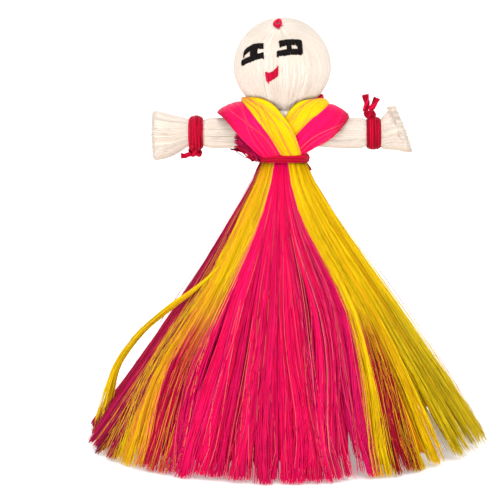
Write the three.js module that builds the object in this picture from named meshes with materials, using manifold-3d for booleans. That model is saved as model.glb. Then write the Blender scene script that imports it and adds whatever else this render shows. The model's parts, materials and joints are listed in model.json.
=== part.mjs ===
// A tied fibre doll that stands on its own flared skirt. Every limb is a hank of plant
// fibre, bound with turns of crimson cord. Millimetres, +Z up, the face looks along -Y,
// and the origin is the centre of the skirt's base. The arms, the head and the waist
// bend at their bindings.
import * as THREE from "three";
import Module from "manifold-3d";
import { mergeVertices } from "three/addons/utils/BufferGeometryUtils.js";

const wasm = await Module();
wasm.setup();

// Driving sizes.
const HEM_RADIUS = 118;
const SKIRT_TOP_RADIUS = 14.6;
const SKIRT_TOP_Z = 157.5;
const SKIRT_FLARE = 1.08; // 1 is a plain cone, more is trumpet shaped
const HEM_THICKNESS = 8;
const SKIRT_TOP_THICKNESS = 4.4;
const WAIST_Z = 163;
const WAIST_BINDING_RADIUS = 13.2;
const TORSO_BOTTOM_Z = 169;
const ARM_Z = 178.5;
const SHOULDER_X = 31;
const ARM_RADIUS = 8.6;
const ARM_CORE_RADIUS = 6;
const HAND_X = 74.6;
const HAND_RADIUS = 13.4;
const RIGHT_WRIST_X = 52;
const LEFT_WRIST_X = 50;
const WRIST_RADIUS = 6.7;
const NECK_BINDING_Z = 186.4;
const NECK_RADIUS = 8.1;
const HEAD_Z = 216;
const HEAD_RADIUS = 28.7;
const CHIN_TAPER = 0.27; // how much the ball narrows towards the neck
const COVER_THICKNESS = 4.2;
const STITCH_HEIGHT = 0.9;
const FACE_TILT = [-10.4, -11, -15]; // degrees about X, Y and Z: nod, roll and turn
const GAP = 0.3;
const SEAM_SHARE = 0.045; // of a sash strip's width, left free along each edge

const COLOURS = {
  cream: 0xf0e2cc,
  stuffing: 0xe6d9c0,
  pink: 0xf0185a,
  wine: 0x8e0f3c,
  yellow: 0xfcd20c,
  cord: 0xc80a3c,
  black: 0x14100f,
  crimson: 0xd0305a,
};

const radians = THREE.MathUtils.degToRad;
const lerp = THREE.MathUtils.lerp;
const root = new THREE.Group();

// Adds a named mesh of one fibre or thread to a group.
function add(group, name, geometry, colour) {
  const material = new THREE.MeshStandardMaterial({
    color: COLOURS[colour],
    roughness: 0.55,
    metalness: 0,
  });
  const mesh = new THREE.Mesh(geometry, material);
  mesh.name = name;
  group.add(mesh);
  return mesh;
}

// A group moved to a place, and turned half round Z for the doll's -X side.
function groupAt(parent, x, y, z, turned = false) {
  const group = new THREE.Group();
  group.position.set(x, y, z);
  group.rotation.z = turned ? Math.PI : 0;
  parent.add(group);
  return group;
}

// A block cut into cells, each of whose points (u, v, w from 0 to 1) goes to place(u, v, w).
function warpedBlock(nu, nv, nw, place) {
  const geometry = new THREE.BoxGeometry(1, 1, 1, nu, nv, nw);
  const points = geometry.attributes.position;
  for (let i = 0; i < points.count; i += 1) {
    const [u, v, w] = [points.getX(i) + 0.5, points.getY(i) + 0.5, points.getZ(i) + 0.5];
    const p = place(u, v, w);
    points.setXYZ(i, p.x, p.y, p.z);
  }
  geometry.computeVertexNormals();
  return geometry;
}

// A body of revolution about Z from [radius, z] pairs that run upwards on the outside.
function turned(profile, segments = 24) {
  const points = profile.map(([r, z]) => new THREE.Vector2(r, z));
  return new THREE.LatheGeometry(points, segments).rotateX(Math.PI / 2);
}

// A round cord along a smooth curve through a few points.
function cordAlong(points, radius, steps) {
  const path = new THREE.CatmullRomCurve3(points.map((p) => new THREE.Vector3(...p)));
  const section = new THREE.Shape().absarc(0, 0, radius, 0, 2 * Math.PI);
  return new THREE.ExtrudeGeometry(section, {
    extrudePath: path,
    steps,
    curveSegments: 4,
  });
}

// A binding: turns of cord side by side round a hank, centred on z = 0 about the Z axis.
function binding(innerRadius, cordRadius, turns) {
  const height = 2 * cordRadius * turns;
  const profile = [[innerRadius, -height / 2]];
  for (let turn = 0; turn < turns; turn += 1) {
    const middle = -height / 2 + cordRadius * (2 * turn + 1);
    for (const angle of [-60, 0, 60]) {
      const a = radians(angle);
      const out = innerRadius + cordRadius * (1 + Math.cos(a));
      profile.push([out, middle + cordRadius * Math.sin(a)]);
    }
  }
  profile.push([innerRadius, height / 2], [innerRadius, -height / 2]);
  return turned(profile);
}

// A flattened knot of the binding cord.
function knot(width, depth, height) {
  return new THREE.SphereGeometry(0.5, 12, 8).scale(width, depth, height);
}

// Solids for boolean work, from a closed geometry and back.
function solid(geometry) {
  const bare = geometry.clone();
  bare.deleteAttribute("normal");
  bare.deleteAttribute("uv");
  const merged = mergeVertices(bare, 1e-4);
  return new wasm.Manifold(
    new wasm.Mesh({
      numProp: 3,
      vertProperties: new Float32Array(merged.attributes.position.array),
      triVerts: new Uint32Array(merged.index.array),
    }),
  );
}

function geometryOf(manifold) {
  const mesh = manifold.getMesh();
  const geometry = new THREE.BufferGeometry();
  geometry.setAttribute("position", new THREE.BufferAttribute(mesh.vertProperties, 3));
  geometry.setIndex(new THREE.BufferAttribute(mesh.triVerts, 1));
  geometry.computeVertexNormals();
  return geometry;
}

// ---- Skirt: hanks side by side round a hollow cone, angles from the front towards +X ----

function skirtRadius(z) {
  const down = (SKIRT_TOP_Z - z) / SKIRT_TOP_Z;
  return SKIRT_TOP_RADIUS + (HEM_RADIUS - SKIRT_TOP_RADIUS) * down ** SKIRT_FLARE;
}

function skirtHank(fromDegrees, toDegrees) {
  return warpedBlock(4, 9, 1, (u, v, w) => {
    const z = SKIRT_TOP_Z * v;
    const radius = skirtRadius(z) - (1 - w) * lerp(HEM_THICKNESS, SKIRT_TOP_THICKNESS, v);
    const side = GAP / radius;
    const angle = lerp(radians(fromDegrees) + side, radians(toDegrees) - side, u);
    return new THREE.Vector3(radius * Math.sin(angle), -radius * Math.cos(angle), z);
  });
}

function buildSkirt(group) {
  const hanks = [
    ["skirt_front_pink_left", -34, -2, "pink"],
    ["skirt_front_pink_right", -2, 30, "pink"],
    ["skirt_right_yellow_inner", 30, 56, "yellow"],
    ["skirt_right_yellow_outer", 56, 82, "yellow"],
    ["skirt_right_side_wine", 82, 112, "wine"],
    ["skirt_back_right_yellow", 112, 142, "yellow"],
    ["skirt_back_pink_right", 142, 180, "pink"],
    ["skirt_back_pink_left", 180, 218, "pink"],
    ["skirt_back_left_yellow", 218, 248, "yellow"],
    ["skirt_left_side_wine", 248, 276, "wine"],
    ["skirt_left_wine", 276, 304, "wine"],
    ["skirt_left_yellow", 304, 326, "yellow"],
  ];
  for (const [name, from, to, colour] of hanks) {
    add(group, name, skirtHank(from, to), colour);
  }
  const coreBottomZ = 118;
  const coreTopRadius = 9.4;
  const wall = HEM_THICKNESS;
  const core = turned([
    [0, coreBottomZ],
    [skirtRadius(coreBottomZ) - wall, coreBottomZ],
    [skirtRadius(lerp(coreBottomZ, SKIRT_TOP_Z, 0.5)) - wall, lerp(coreBottomZ, SKIRT_TOP_Z, 0.5)],
    [coreTopRadius, SKIRT_TOP_Z],
    [0, SKIRT_TOP_Z],
  ]);
  add(group, "skirt_core_hank", core, "wine");
}

// ---- Waist: the bound hank and its cord ----

function buildWaist(group) {
  const cordRadius = 1.1;
  const turns = 3;
  const coreRadius = WAIST_BINDING_RADIUS - GAP;
  const half = cordRadius * turns;
  const core = turned([
    [0, -half],
    [coreRadius - 1, -half],
    [coreRadius, -half + 1],
    [coreRadius, half - 1],
    [coreRadius - 1, half],
    [0, half],
  ]);
  const waist = groupAt(group, 0, 0, WAIST_Z);
  add(waist, "waist_core_hank", core, "pink");
  add(waist, "waist_binding", binding(WAIST_BINDING_RADIUS, cordRadius, turns), "cord");

  // The knot sits on the binding's back, right of the middle, with two short ends.
  const knotOut = WAIST_BINDING_RADIUS + 2 * cordRadius + GAP;
  const back = groupAt(waist, 0, 0, 0);
  back.rotation.z = radians(76);
  const knotMesh = add(back, "waist_knot", knot(5, 6.5, 5.4), "cord");
  knotMesh.position.set(knotOut + 2.5, 0, 0);
  const end = (side) => [
    [knotOut + 3.2, side * 3.7, -0.4],
    [knotOut + 4.6, side * 6.2, -1.2],
    [knotOut + 6.2, side * 8.4, -4.2],
    [knotOut + 7.6, side * 9.6, -8.6],
  ];
  add(back, "waist_cord_end_left", cordAlong(end(1), 0.9, 8), "cord");
  add(back, "waist_cord_end_right", cordAlong(end(-1), 0.9, 8), "cord");
}

// ---- Torso: trunk hanks round the arm bundle, and the crossed sashes over them ----

function buildTrunk(group) {
  const trunk = solid(
    turned([
      [0, TORSO_BOTTOM_Z],
      [9.2, TORSO_BOTTOM_Z],
      [9.6, TORSO_BOTTOM_Z + 4],
      [11, ARM_Z],
      [10.6, NECK_BINDING_Z - 3.2],
      [NECK_RADIUS, NECK_BINDING_Z - 1.8],
      [NECK_RADIUS, NECK_BINDING_Z + 1.6],
      [0, NECK_BINDING_Z + 1.6],
    ]),
  );
  const bore = new THREE.CylinderGeometry(ARM_CORE_RADIUS + GAP, ARM_CORE_RADIUS + GAP, 60, 24);
  bore.rotateZ(Math.PI / 2).translate(0, 0, ARM_Z);
  const bored = trunk.subtract(solid(bore));
  const halfSpace = (side) => new THREE.BoxGeometry(40, 40, 60).translate(0, side * (20 + GAP / 2), ARM_Z);
  add(group, "trunk_front_hank", geometryOf(bored.intersect(solid(halfSpace(-1)))), "cream");
  add(group, "trunk_back_hank", geometryOf(bored.intersect(solid(halfSpace(1)))), "cream");

  const bundle = new THREE.CylinderGeometry(ARM_CORE_RADIUS, ARM_CORE_RADIUS, 46, 24);
  bundle.rotateZ(Math.PI / 2).translate(0, 0, ARM_Z);
  add(group, "arm_bundle_core", bundle, "cream");
}

// Edge curves of a sash at stations from the front waist, over the shoulder, to the back
// waist, for the +X shoulder: the neck edge, the seam between colours, the shoulder edge.
const SASH_EDGES = {
  neck: [
    [-9.4, -7.4, 169],
    [-7, -15, 180],
    [0, -17.5, 190],
    [15, -22, 194.4],
    [24.5, -3, 198],
    [20, 12.8, 194],
    [5, 17, 184],
    [-9.4, 7.4, 169],
  ],
  seam: [
    [1.4, -12, 169],
    [7.5, -15.6, 180],
    [16, -16, 189],
    [24.6, -12.6, 194.2],
    [28, 0, 196],
    [27, 11.5, 193],
    [14, 16, 182],
    [1.4, 12, 169],
  ],
  shoulder: [
    [11.3, -4.3, 169],
    [23.5, -13.5, 178],
    [32, -12.8, 184.6],
    [36.6, -7.6, 189.8],
    [38, 0, 191.4],
    [35.2, 8.5, 189.2],
    [25, 13.5, 180],
    [11.3, 4.3, 169],
  ],
};
const SASH_THICKNESS = [1.9, 2.6, 2.7, 1.9, 3, 2.9, 2.6, 1.9];
const SASH_LIFT = [4.3, 5, 3.8, 0.6, 0, 0.6, 5.4, 4.7]; // the upper sash clears the lower one
const SASH_CROWN = [1.5, 1.2, 1, 1, 1, 1, 1.2, 1.5]; // how far a strip's middle stands proud

function curveThrough(points) {
  return new THREE.CatmullRomCurve3(points.map((p) => new THREE.Vector3(...p)));
}

function valueAlong(values, t) {
  const place = t * (values.length - 1);
  const i = Math.min(Math.floor(place), values.length - 2);
  return lerp(values[i], values[i + 1], place - i);
}

// One colour of a sash, as a strip between two of its edges.
function sashStrip(side, firstEdge, secondEdge, lifted) {
  const neck = curveThrough(SASH_EDGES.neck);
  const seam = curveThrough(SASH_EDGES.seam);
  const shoulder = curveThrough(SASH_EDGES.shoulder);
  const edges = { neck, seam, shoulder };
  const across = {
    neck: [neck, seam],
    seam: [neck, shoulder],
    shoulder: [seam, shoulder],
  };
  const outward = (edge, t) => {
    const [from, to] = across[edge];
    const width = to.getPoint(t).sub(from.getPoint(t));
    return width.cross(edges[edge].getTangent(t)).normalize();
  };
  return warpedBlock(3, 22, 1, (u, v, w) => {
    const share = lerp(SEAM_SHARE, 1 - SEAM_SHARE, side > 0 ? u : 1 - u);
    const normal = outward(firstEdge, v).lerp(outward(secondEdge, v), share);
    normal.z *= Math.min(1, 7 * v, 7 * (1 - v)); // level ends, so both ends finish at one height
    normal.normalize();
    const lift = lifted ? valueAlong(SASH_LIFT, v) : 0;
    const crown = 4 * share * (1 - share) * valueAlong(SASH_CROWN, v);
    const depth = lift + crown - (1 - w) * valueAlong(SASH_THICKNESS, v);
    const p = edges[firstEdge].getPoint(v).lerp(edges[secondEdge].getPoint(v), share);
    p.addScaledVector(normal, depth);
    p.x *= side;
    return p;
  });
}

function buildTorso(group) {
  buildTrunk(group);
  add(group, "right_yellow_sash", sashStrip(1, "neck", "seam", false), "yellow");
  add(group, "right_pink_sash", sashStrip(1, "seam", "shoulder", false), "pink");
  add(group, "left_yellow_sash", sashStrip(-1, "neck", "seam", true), "yellow");
  add(group, "left_pink_sash", sashStrip(-1, "seam", "shoulder", true), "pink");
}

// ---- Neck: its binding, and the two short lengths of hank that bend ----

function buildNeckBinding(group) {
  const cordRadius = 0.7;
  const neck = groupAt(group, 0, 0, NECK_BINDING_Z);
  add(neck, "neck_binding", binding(NECK_RADIUS + GAP, cordRadius, 2), "cord");
  const knotOut = NECK_RADIUS + 2 * GAP + 2 * cordRadius + 1.5;
  const knotAngle = radians(58);
  const knotMesh = add(neck, "neck_knot", knot(3, 3, 3), "cord");
  knotMesh.position.set(knotOut * Math.cos(knotAngle), knotOut * Math.sin(knotAngle), 0.6);

  // The cord's end climbs out over the back of the collar and lies above the shoulder.
  const end = [
    [6.8, 12, 2.6],
    [9, 17, 5.4],
    [14, 20, 8.4],
    [21, 19.5, 11],
    [27, 15.5, 13.6],
  ];
  add(neck, "neck_cord_end", cordAlong(end, 0.9, 12), "cord");
}

function neckDisc(fromZ, toZ) {
  return turned(
    [
      [0, fromZ],
      [5.6, fromZ],
      [5.6, toZ],
      [0, toZ],
    ],
    24,
  );
}

// ---- Head: a stuffing ball in a cover of laid fibres, with an embroidered face ----

// Outline of the head at an angle above its equator, as [radius, height].
function headOutline(degrees, radius) {
  const angle = radians(degrees);
  const narrowing = degrees < 0 ? 1 - CHIN_TAPER * Math.sin(angle) ** 2 : 1;
  return [radius * Math.cos(angle) * narrowing, radius * Math.sin(angle)];
}

function headCover() {
  const neckAngle = -63;
  const inner = HEAD_RADIUS - COVER_THICKNESS;
  const steps = 13;
  const profile = [];
  for (let i = 0; i < steps; i += 1) {
    profile.push(headOutline(lerp(neckAngle, 90, i / steps), HEAD_RADIUS));
  }
  profile.push([0, HEAD_RADIUS], [0, inner]);
  for (let i = steps - 1; i >= 0; i -= 1) {
    profile.push(headOutline(lerp(neckAngle, 90, i / steps), inner));
  }
  profile.push(headOutline(neckAngle, HEAD_RADIUS));
  return turned(profile, 32);
}

function stuffingBall() {
  const radius = HEAD_RADIUS - COVER_THICKNESS - GAP;
  const lowest = -60;
  const steps = 9;
  const profile = [[0, headOutline(lowest, radius)[1]]];
  for (let i = 0; i < steps; i += 1) {
    profile.push(headOutline(lerp(lowest, 90, i / steps), radius));
  }
  profile.push([0, radius]);
  return turned(profile, 24);
}

// A bar of stitches on the head. Corners are [across, up] in degrees on the face, from
// the lower left round to the lower right; arch lifts the middle.
function stitchBar([lowerLeft, upperLeft, upperRight, lowerRight], arch, cells) {
  return warpedBlock(cells, 2, 1, (u, v, w) => {
    const across = lerp(lerp(lowerLeft[0], lowerRight[0], u), lerp(upperLeft[0], upperRight[0], u), v);
    const bow = arch * 4 * u * (1 - u);
    const up = bow + lerp(lerp(lowerLeft[1], lowerRight[1], u), lerp(upperLeft[1], upperRight[1], u), v);
    const radius = HEAD_RADIUS + GAP + w * STITCH_HEIGHT;
    const [a, b] = [radians(across), radians(up)];
    const out = radius * Math.cos(b);
    return new THREE.Vector3(out * Math.sin(a), -out * Math.cos(a), radius * Math.sin(b));
  });
}

function buildFace(group) {
  const face = groupAt(group, 0, 0, 0);
  const [nod, roll, turn] = FACE_TILT.map(radians);
  face.rotation.set(nod, roll, turn, "ZXY");
  const bars = [
    ["left_eye_upper_lid", [[-39, 14.5], [-37.5, 21], [-8.5, 24], [-8.5, 18.8]], 2.6, 8, "black"],
    ["left_eye_lower_lid", [[-42, 4.2], [-41.5, 9.6], [-8.5, 12], [-8.5, 6.4]], 0.6, 8, "black"],
    ["left_eye_pupil", [[-26.5, 11.9], [-26.5, 17.9], [-17, 19.4], [-17, 12.6]], 0, 3, "black"],
    ["right_eye_upper_lid", [[12, 18.2], [12, 24.4], [42, 23.4], [41, 17.2]], 0.6, 8, "black"],
    ["right_eye_lower_lid", [[8.3, 5.2], [9, 11.2], [38.2, 9.6], [37, 3.6]], 0.4, 8, "black"],
    ["right_eye_pupil", [[19.8, 12.2], [21.6, 17.7], [27.4, 17.5], [26.2, 12]], 0, 3, "black"],
    ["right_eye_corner", [[35.6, 11], [36.4, 16.6], [40.6, 16.2], [38.8, 10.6]], 0, 2, "black"],
    ["mouth_stitches", [[-9.4, -21.4], [-8.9, -10.6], [9, -6.4], [6.6, -16.8]], -3.4, 8, "crimson"],
  ];
  for (const [name, corners, arch, cells, colour] of bars) {
    add(face, name, stitchBar(corners, arch, cells), colour);
  }
}

function buildCrownKnot(group) {
  const crown = groupAt(group, 0, 0, 0);
  crown.rotation.set(radians(20), 0, radians(-16), "ZXY");
  const loopRadius = 2.5;
  const threadRadius = 1;
  const loop = new THREE.TorusGeometry(loopRadius, threadRadius, 8, 18);
  const drop = HEAD_RADIUS - Math.sqrt(HEAD_RADIUS ** 2 - loopRadius ** 2);
  add(crown, "crown_knot", loop, "crimson").position.z = HEAD_RADIUS + GAP + threadRadius - drop;
}

function buildHead(group) {
  const head = groupAt(group, 0, 0, HEAD_Z);
  add(head, "head_stuffing_ball", stuffingBall(), "stuffing");
  add(head, "head_cover", headCover(), "cream");
  buildFace(head);
  buildCrownKnot(head);
}

// ---- Arms: each hank runs out from a round root, past the wrist binding, to a flared hand ----

function armHank(wristX) {
  const rootX = 38.3;
  const halfTie = 4.6;
  const profile = [
    [0, rootX],
    [6.2, rootX],
    [ARM_RADIUS - 0.5, rootX + 2.4],
    [ARM_RADIUS, (rootX + wristX) / 2 - 0.5],
    [ARM_RADIUS - 0.6, wristX - halfTie - 0.9],
    [WRIST_RADIUS, wristX - halfTie],
    [WRIST_RADIUS, wristX + halfTie],
    [WRIST_RADIUS + 2, wristX + halfTie + 1.4],
    [lerp(WRIST_RADIUS + 2, HAND_RADIUS, 0.6), lerp(wristX + halfTie, HAND_X, 0.55)],
    [HAND_RADIUS, HAND_X - 1.6],
    [HAND_RADIUS - 1, HAND_X],
    [0, HAND_X],
  ];
  return turned(profile, 24).translate(0, 0, -SHOULDER_X).rotateY(Math.PI / 2);
}

function buildArm(shoulders, arms, name, isLeft, wristX) {
  const x = isLeft ? -SHOULDER_X : SHOULDER_X;
  const shoulder = groupAt(shoulders, x, 0, ARM_Z, isLeft);
  const rootBall = new THREE.SphereGeometry(6.6, 16, 10);
  add(shoulder, name + "_shoulder_root", rootBall, "cream");

  const arm = groupAt(arms, x, 0, ARM_Z, isLeft);
  add(arm, name + "_arm_hank", armHank(wristX), "cream");
  const cordRadius = 1;
  const wrist = groupAt(arm, wristX - SHOULDER_X, 0, 0);
  const bindingMesh = add(wrist, name + "_wrist_binding", binding(WRIST_RADIUS + GAP, cordRadius, 4), "cord");
  bindingMesh.rotation.y = Math.PI / 2;
  return wrist;
}

function buildArms(group) {
  const right = buildArm(group, group, "right", false, RIGHT_WRIST_X);
  const surface = WRIST_RADIUS + 2 * GAP + 2;
  const rightKnot = add(right, "right_wrist_knot", knot(6.4, 5, 3.2), "cord");
  rightKnot.position.set(-2.2, 0, surface + 1.6);
  const outerEnd = [[-1.2, 0, surface + 3.6], [-0.4, 0, surface + 7], [2.4, 0, surface + 10.4]];
  const innerEnd = [[-3.9, 0, surface + 3.2], [-4.4, 0, surface + 8], [-4.2, 0, surface + 12.8]];
  add(right, "right_wrist_cord_end_outer", cordAlong(outerEnd, 0.9, 8), "cord");
  add(right, "right_wrist_cord_end_inner", cordAlong(innerEnd, 0.9, 8), "cord");

  const left = buildArm(group, group, "left", true, LEFT_WRIST_X);
  const leftKnot = add(left, "left_wrist_knot", knot(6.4, 5, 3.2), "cord");
  leftKnot.position.set(0.6, 0, -surface - 1.6);
  const leftEnd = [[3.2, 0, -surface - 3.4], [5.4, 0.4, -surface - 3.4], [8.4, 0.8, -surface - 4.6]];
  add(left, "left_wrist_cord_end", cordAlong(leftEnd, 0.9, 8), "cord");
}

buildSkirt(root);
buildWaist(root);
buildTorso(root);
buildNeckBinding(root);
add(root, "neck_lower_hank", neckDisc(189.1, 189.9), "cream");
add(root, "neck_upper_hank", neckDisc(190.8, 191.8), "cream");
buildHead(root);
buildArms(root);

export default root;
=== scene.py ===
"""Looks of a tied fibre doll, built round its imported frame.

Every hank is made of separate fibres, combed along the solid that it stands for. Sizes in
this script are millimetres and angles degrees unless a comment says otherwise; pieces are
scaled to metres when they are made. +Z is up and the face looks along -Y.
"""
import json
import math
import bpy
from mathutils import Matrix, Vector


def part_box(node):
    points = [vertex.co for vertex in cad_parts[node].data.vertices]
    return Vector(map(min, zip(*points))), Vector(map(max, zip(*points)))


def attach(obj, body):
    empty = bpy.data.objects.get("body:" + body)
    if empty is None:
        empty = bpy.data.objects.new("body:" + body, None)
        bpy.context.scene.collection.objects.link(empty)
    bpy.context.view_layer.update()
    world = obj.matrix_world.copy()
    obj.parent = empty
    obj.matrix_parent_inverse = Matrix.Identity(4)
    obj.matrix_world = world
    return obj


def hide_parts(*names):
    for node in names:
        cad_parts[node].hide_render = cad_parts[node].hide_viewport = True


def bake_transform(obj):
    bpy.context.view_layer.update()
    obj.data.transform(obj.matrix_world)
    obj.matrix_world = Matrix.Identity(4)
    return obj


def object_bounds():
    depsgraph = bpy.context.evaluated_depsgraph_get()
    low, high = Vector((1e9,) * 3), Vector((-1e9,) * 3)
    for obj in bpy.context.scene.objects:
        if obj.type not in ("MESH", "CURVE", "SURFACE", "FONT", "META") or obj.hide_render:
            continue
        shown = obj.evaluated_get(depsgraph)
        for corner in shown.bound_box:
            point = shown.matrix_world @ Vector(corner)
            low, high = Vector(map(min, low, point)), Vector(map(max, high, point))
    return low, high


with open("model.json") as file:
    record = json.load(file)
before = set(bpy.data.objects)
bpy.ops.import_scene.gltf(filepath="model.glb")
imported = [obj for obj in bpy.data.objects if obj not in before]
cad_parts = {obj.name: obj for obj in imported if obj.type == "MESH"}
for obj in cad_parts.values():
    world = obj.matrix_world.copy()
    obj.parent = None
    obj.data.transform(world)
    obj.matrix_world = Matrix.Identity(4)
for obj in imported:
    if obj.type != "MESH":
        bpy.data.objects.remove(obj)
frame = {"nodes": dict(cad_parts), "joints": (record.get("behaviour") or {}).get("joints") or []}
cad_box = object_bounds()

from types import SimpleNamespace

import bpy
import numpy as np
from mathutils import Vector

scene = bpy.context.scene
scene.view_settings.view_transform = "Standard"

MM_PER_M = 1000.0


# ---- Sizes taken from the frame ----

def node_points(node):
    """The vertices of a CAD node, in millimetres."""
    mesh = frame["nodes"][node].data
    flat = np.empty(len(mesh.vertices) * 3, np.float32)
    mesh.vertices.foreach_get("co", flat)
    return flat.reshape(-1, 3).astype(float) * MM_PER_M


def node_box(node):
    """Lowest corner, highest corner and middle of a CAD node, in millimetres."""
    low, high = (np.array(corner) * MM_PER_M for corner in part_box(node))
    return low, high, (low + high) / 2


def pivot(joint):
    """Where a joint turns, in millimetres."""
    found = [j for j in frame["joints"] if j["name"] == joint][0]
    return np.array(found["pos_m"]) * MM_PER_M


HEM_RADIUS = float(cad_box[1].x) * MM_PER_M
SKIRT_TOP = node_box("skirt_front_pink_left")[1][2]
SKIRT_TOP_RADIUS = 14.6
SKIRT_FLARE = 1.08  # 1 is a plain cone, more is trumpet shaped
SHOULDER = pivot("right_arm_raise")
HEAD_RADIUS = node_box("head_cover")[1][0]
HEAD = np.array([-0.6, 0, node_box("head_cover")[1][2] - HEAD_RADIUS])  # it sits a little aside
HEAD_STRETCH = np.array([0.97, 1, 1])
CHIN_TAPER = 0.27


# ---- Camera, floor and lights, in metres ----

CAMERA_PLACE = (0, -1.3, 0.3)
CAMERA_TARGET = (-0.019, 0, 0.1105)
CAMERA_LENS = 163.3
FLOOR_HALF = 9
FLOOR_GLOW = 0.34  # the floor is a lit white table
LIT_MIDDLE = (0, 0, 0.14)
LIGHTS = {  # where each one stands, its width, its watts and its colour
    "key_light": ((0.7, -1.3, 1.8), 1.0, 15, (1, 0.99, 0.98)),
    "fill_light": ((-0.9, -1.6, 0.45), 1.2, 9, (1, 1, 1)),
    "back_light": ((-0.4, 1.6, 1.3), 1.4, 12, (1, 1, 1)),
}


def look_at(thing, place, target):
    thing.location = place
    thing.rotation_euler = (Vector(target) - Vector(place)).to_track_quat("-Z", "Y").to_euler()


def make_camera():
    camera = bpy.data.objects.new("camera", bpy.data.cameras.new("camera"))
    scene.collection.objects.link(camera)
    camera.data.sensor_width = 36
    camera.data.lens = CAMERA_LENS
    camera.data.clip_end = 60
    look_at(camera, CAMERA_PLACE, CAMERA_TARGET)
    scene.camera = camera


def make_studio():
    half = FLOOR_HALF
    mesh = bpy.data.meshes.new("studio_floor")
    corners = [(-half, -half, 0), (half, -half, 0), (half, half, 0), (-half, half, 0)]
    mesh.from_pydata(corners, [], [(0, 1, 2, 3)])
    floor = bpy.data.objects.new("studio_floor", mesh)
    scene.collection.objects.link(floor)
    mesh.materials.append(floor_material())

    world = bpy.data.worlds.new("studio")
    scene.world = world
    world.use_nodes = True
    background = world.node_tree.nodes["Background"]
    background.inputs["Color"].default_value = (1, 1, 1, 1)
    background.inputs["Strength"].default_value = 1.0
    for name, (place, size, watts, tint) in LIGHTS.items():
        light = bpy.data.objects.new(name, bpy.data.lights.new(name, "AREA"))
        scene.collection.objects.link(light)
        light.data.shape = "DISK"
        light.data.size = size
        light.data.energy = watts
        light.data.color = tint
        look_at(light, place, LIT_MIDDLE)


# ---- Materials ----

FIBRE_STREAKS = (3.1, 0.22, 0.9)  # noise per millimetre round, along and across a fibre
ALONG_X = (160, 2200, 2200)  # noise per metre of a solid, where its fibres run along X
ALONG_Z = (2200, 2200, 160)
ALONG_Z_DYED = (2000, 2000, 150)
NO_GRAIN = (700, 700, 700)
SILKY = {"streak": (0.84, 1.1), "roughness": (0.4, 0.6), "bump": 0.35, "sheen": 0.01, "specular": 0.11}
SOFT = {"streak": (0.94, 1.04), "roughness": (0.55, 0.72), "bump": 0.3, "sheen": 0.08, "specular": 0.18}
THREAD = {"streak": (0.8, 1.12), "roughness": (0.5, 0.7), "bump": 0.4, "sheen": 0.01, "specular": 0.09}


def new_material(name):
    """A node material, its node tree and its Principled shader."""
    material = bpy.data.materials.new(name)
    material.use_nodes = True
    return material, material.node_tree, material.node_tree.nodes["Principled BSDF"]


def fill(tree, node, inputs):
    """Sets a node's inputs, by name or number, to values, or links them to outputs."""
    for key, value in inputs.items():
        if isinstance(value, bpy.types.NodeSocket):
            tree.links.new(value, node.inputs[key])
        else:
            node.inputs[key].default_value = value


def add_node(tree, kind, inputs=None, **settings):
    node = tree.nodes.new("ShaderNode" + kind)
    for key, value in settings.items():
        setattr(node, key, value)
    fill(tree, node, inputs or {})
    return node


def noise(tree, scale, detail=3.0, **place):
    looks = {"Scale": scale, "Detail": detail, "Roughness": 0.55, **place}
    return add_node(tree, "TexNoise", looks).outputs["Fac"]


def ranged(tree, source, low, high):
    """source, from 0.25 to 0.75, stretched to run from low to high."""
    limits = {"Value": source, "From Min": 0.25, "From Max": 0.75, "To Min": low, "To Max": high}
    return add_node(tree, "MapRange", limits).outputs["Result"]


def stretched(tree, source, scale):
    """A vector scaled by another, so that a texture runs along the fibres."""
    return add_node(tree, "VectorMath", {0: source, 1: scale}, operation="MULTIPLY").outputs["Vector"]


def finish_fibre(tree, shader, colour, place, along, depth, looks):
    """Streaks, roughness and bump that run along the fibres, common to every material."""
    streak = noise(tree, 1.0, Vector=stretched(tree, place, along))
    blotch = noise(tree, 1.0, 2.0, Vector=stretched(tree, place, tuple(0.12 * a for a in along)))
    shades = {0: ranged(tree, streak, *looks["streak"]), 1: ranged(tree, blotch, 0.95, 1.05)}
    shade = add_node(tree, "Math", shades, operation="MULTIPLY").outputs["Value"]
    toned = add_node(tree, "VectorMath", {0: colour, "Scale": shade}, operation="SCALE")
    bump = add_node(tree, "Bump", {"Strength": looks["bump"], "Distance": depth, "Height": streak})
    fill(tree, shader, {
        "Base Color": toned.outputs["Vector"],
        "Roughness": ranged(tree, streak, *looks["roughness"]),
        "Normal": bump.outputs["Normal"],
        "Sheen Weight": looks["sheen"],
        "Sheen Roughness": 0.45,
        "Specular IOR Level": looks["specular"],
    })


def fibre_material(name, looks):
    """Dyed fibre: its colour and the place along each fibre come with the mesh."""
    material, tree, shader = new_material(name)
    tint = add_node(tree, "Attribute", attribute_name="tint").outputs["Color"]
    grain = add_node(tree, "Attribute", attribute_name="grain").outputs["Vector"]
    finish_fibre(tree, shader, tint, grain, FIBRE_STREAKS, 0.0002, looks)
    return material


def core_material(name, colour, along, looks):
    """Undyed or dyed fibre for an inner solid, streaked along one axis of the object."""
    material, tree, shader = new_material(name)
    place = add_node(tree, "TexCoord").outputs["Object"]
    tint = add_node(tree, "RGB").outputs["Color"]
    tint.default_value = (*colour, 1)
    finish_fibre(tree, shader, tint, place, along, 0.0003, looks)
    return material


def floor_material():
    material, tree, shader = new_material("studio_floor")
    shades = {"A": (0.9, 0.9, 0.895, 1), "B": (0.94, 0.94, 0.935, 1), "Factor": noise(tree, 6.0)}
    tone = add_node(tree, "Mix", shades, data_type="RGBA").outputs["Result"]
    glow = {"Emission Color": tone, "Emission Strength": FLOOR_GLOW}
    fill(tree, shader, {"Base Color": tone, "Roughness": 0.8, **glow})
    return material


# ---- Colours: each dye is a few shades that its fibres are picked from ----

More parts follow.
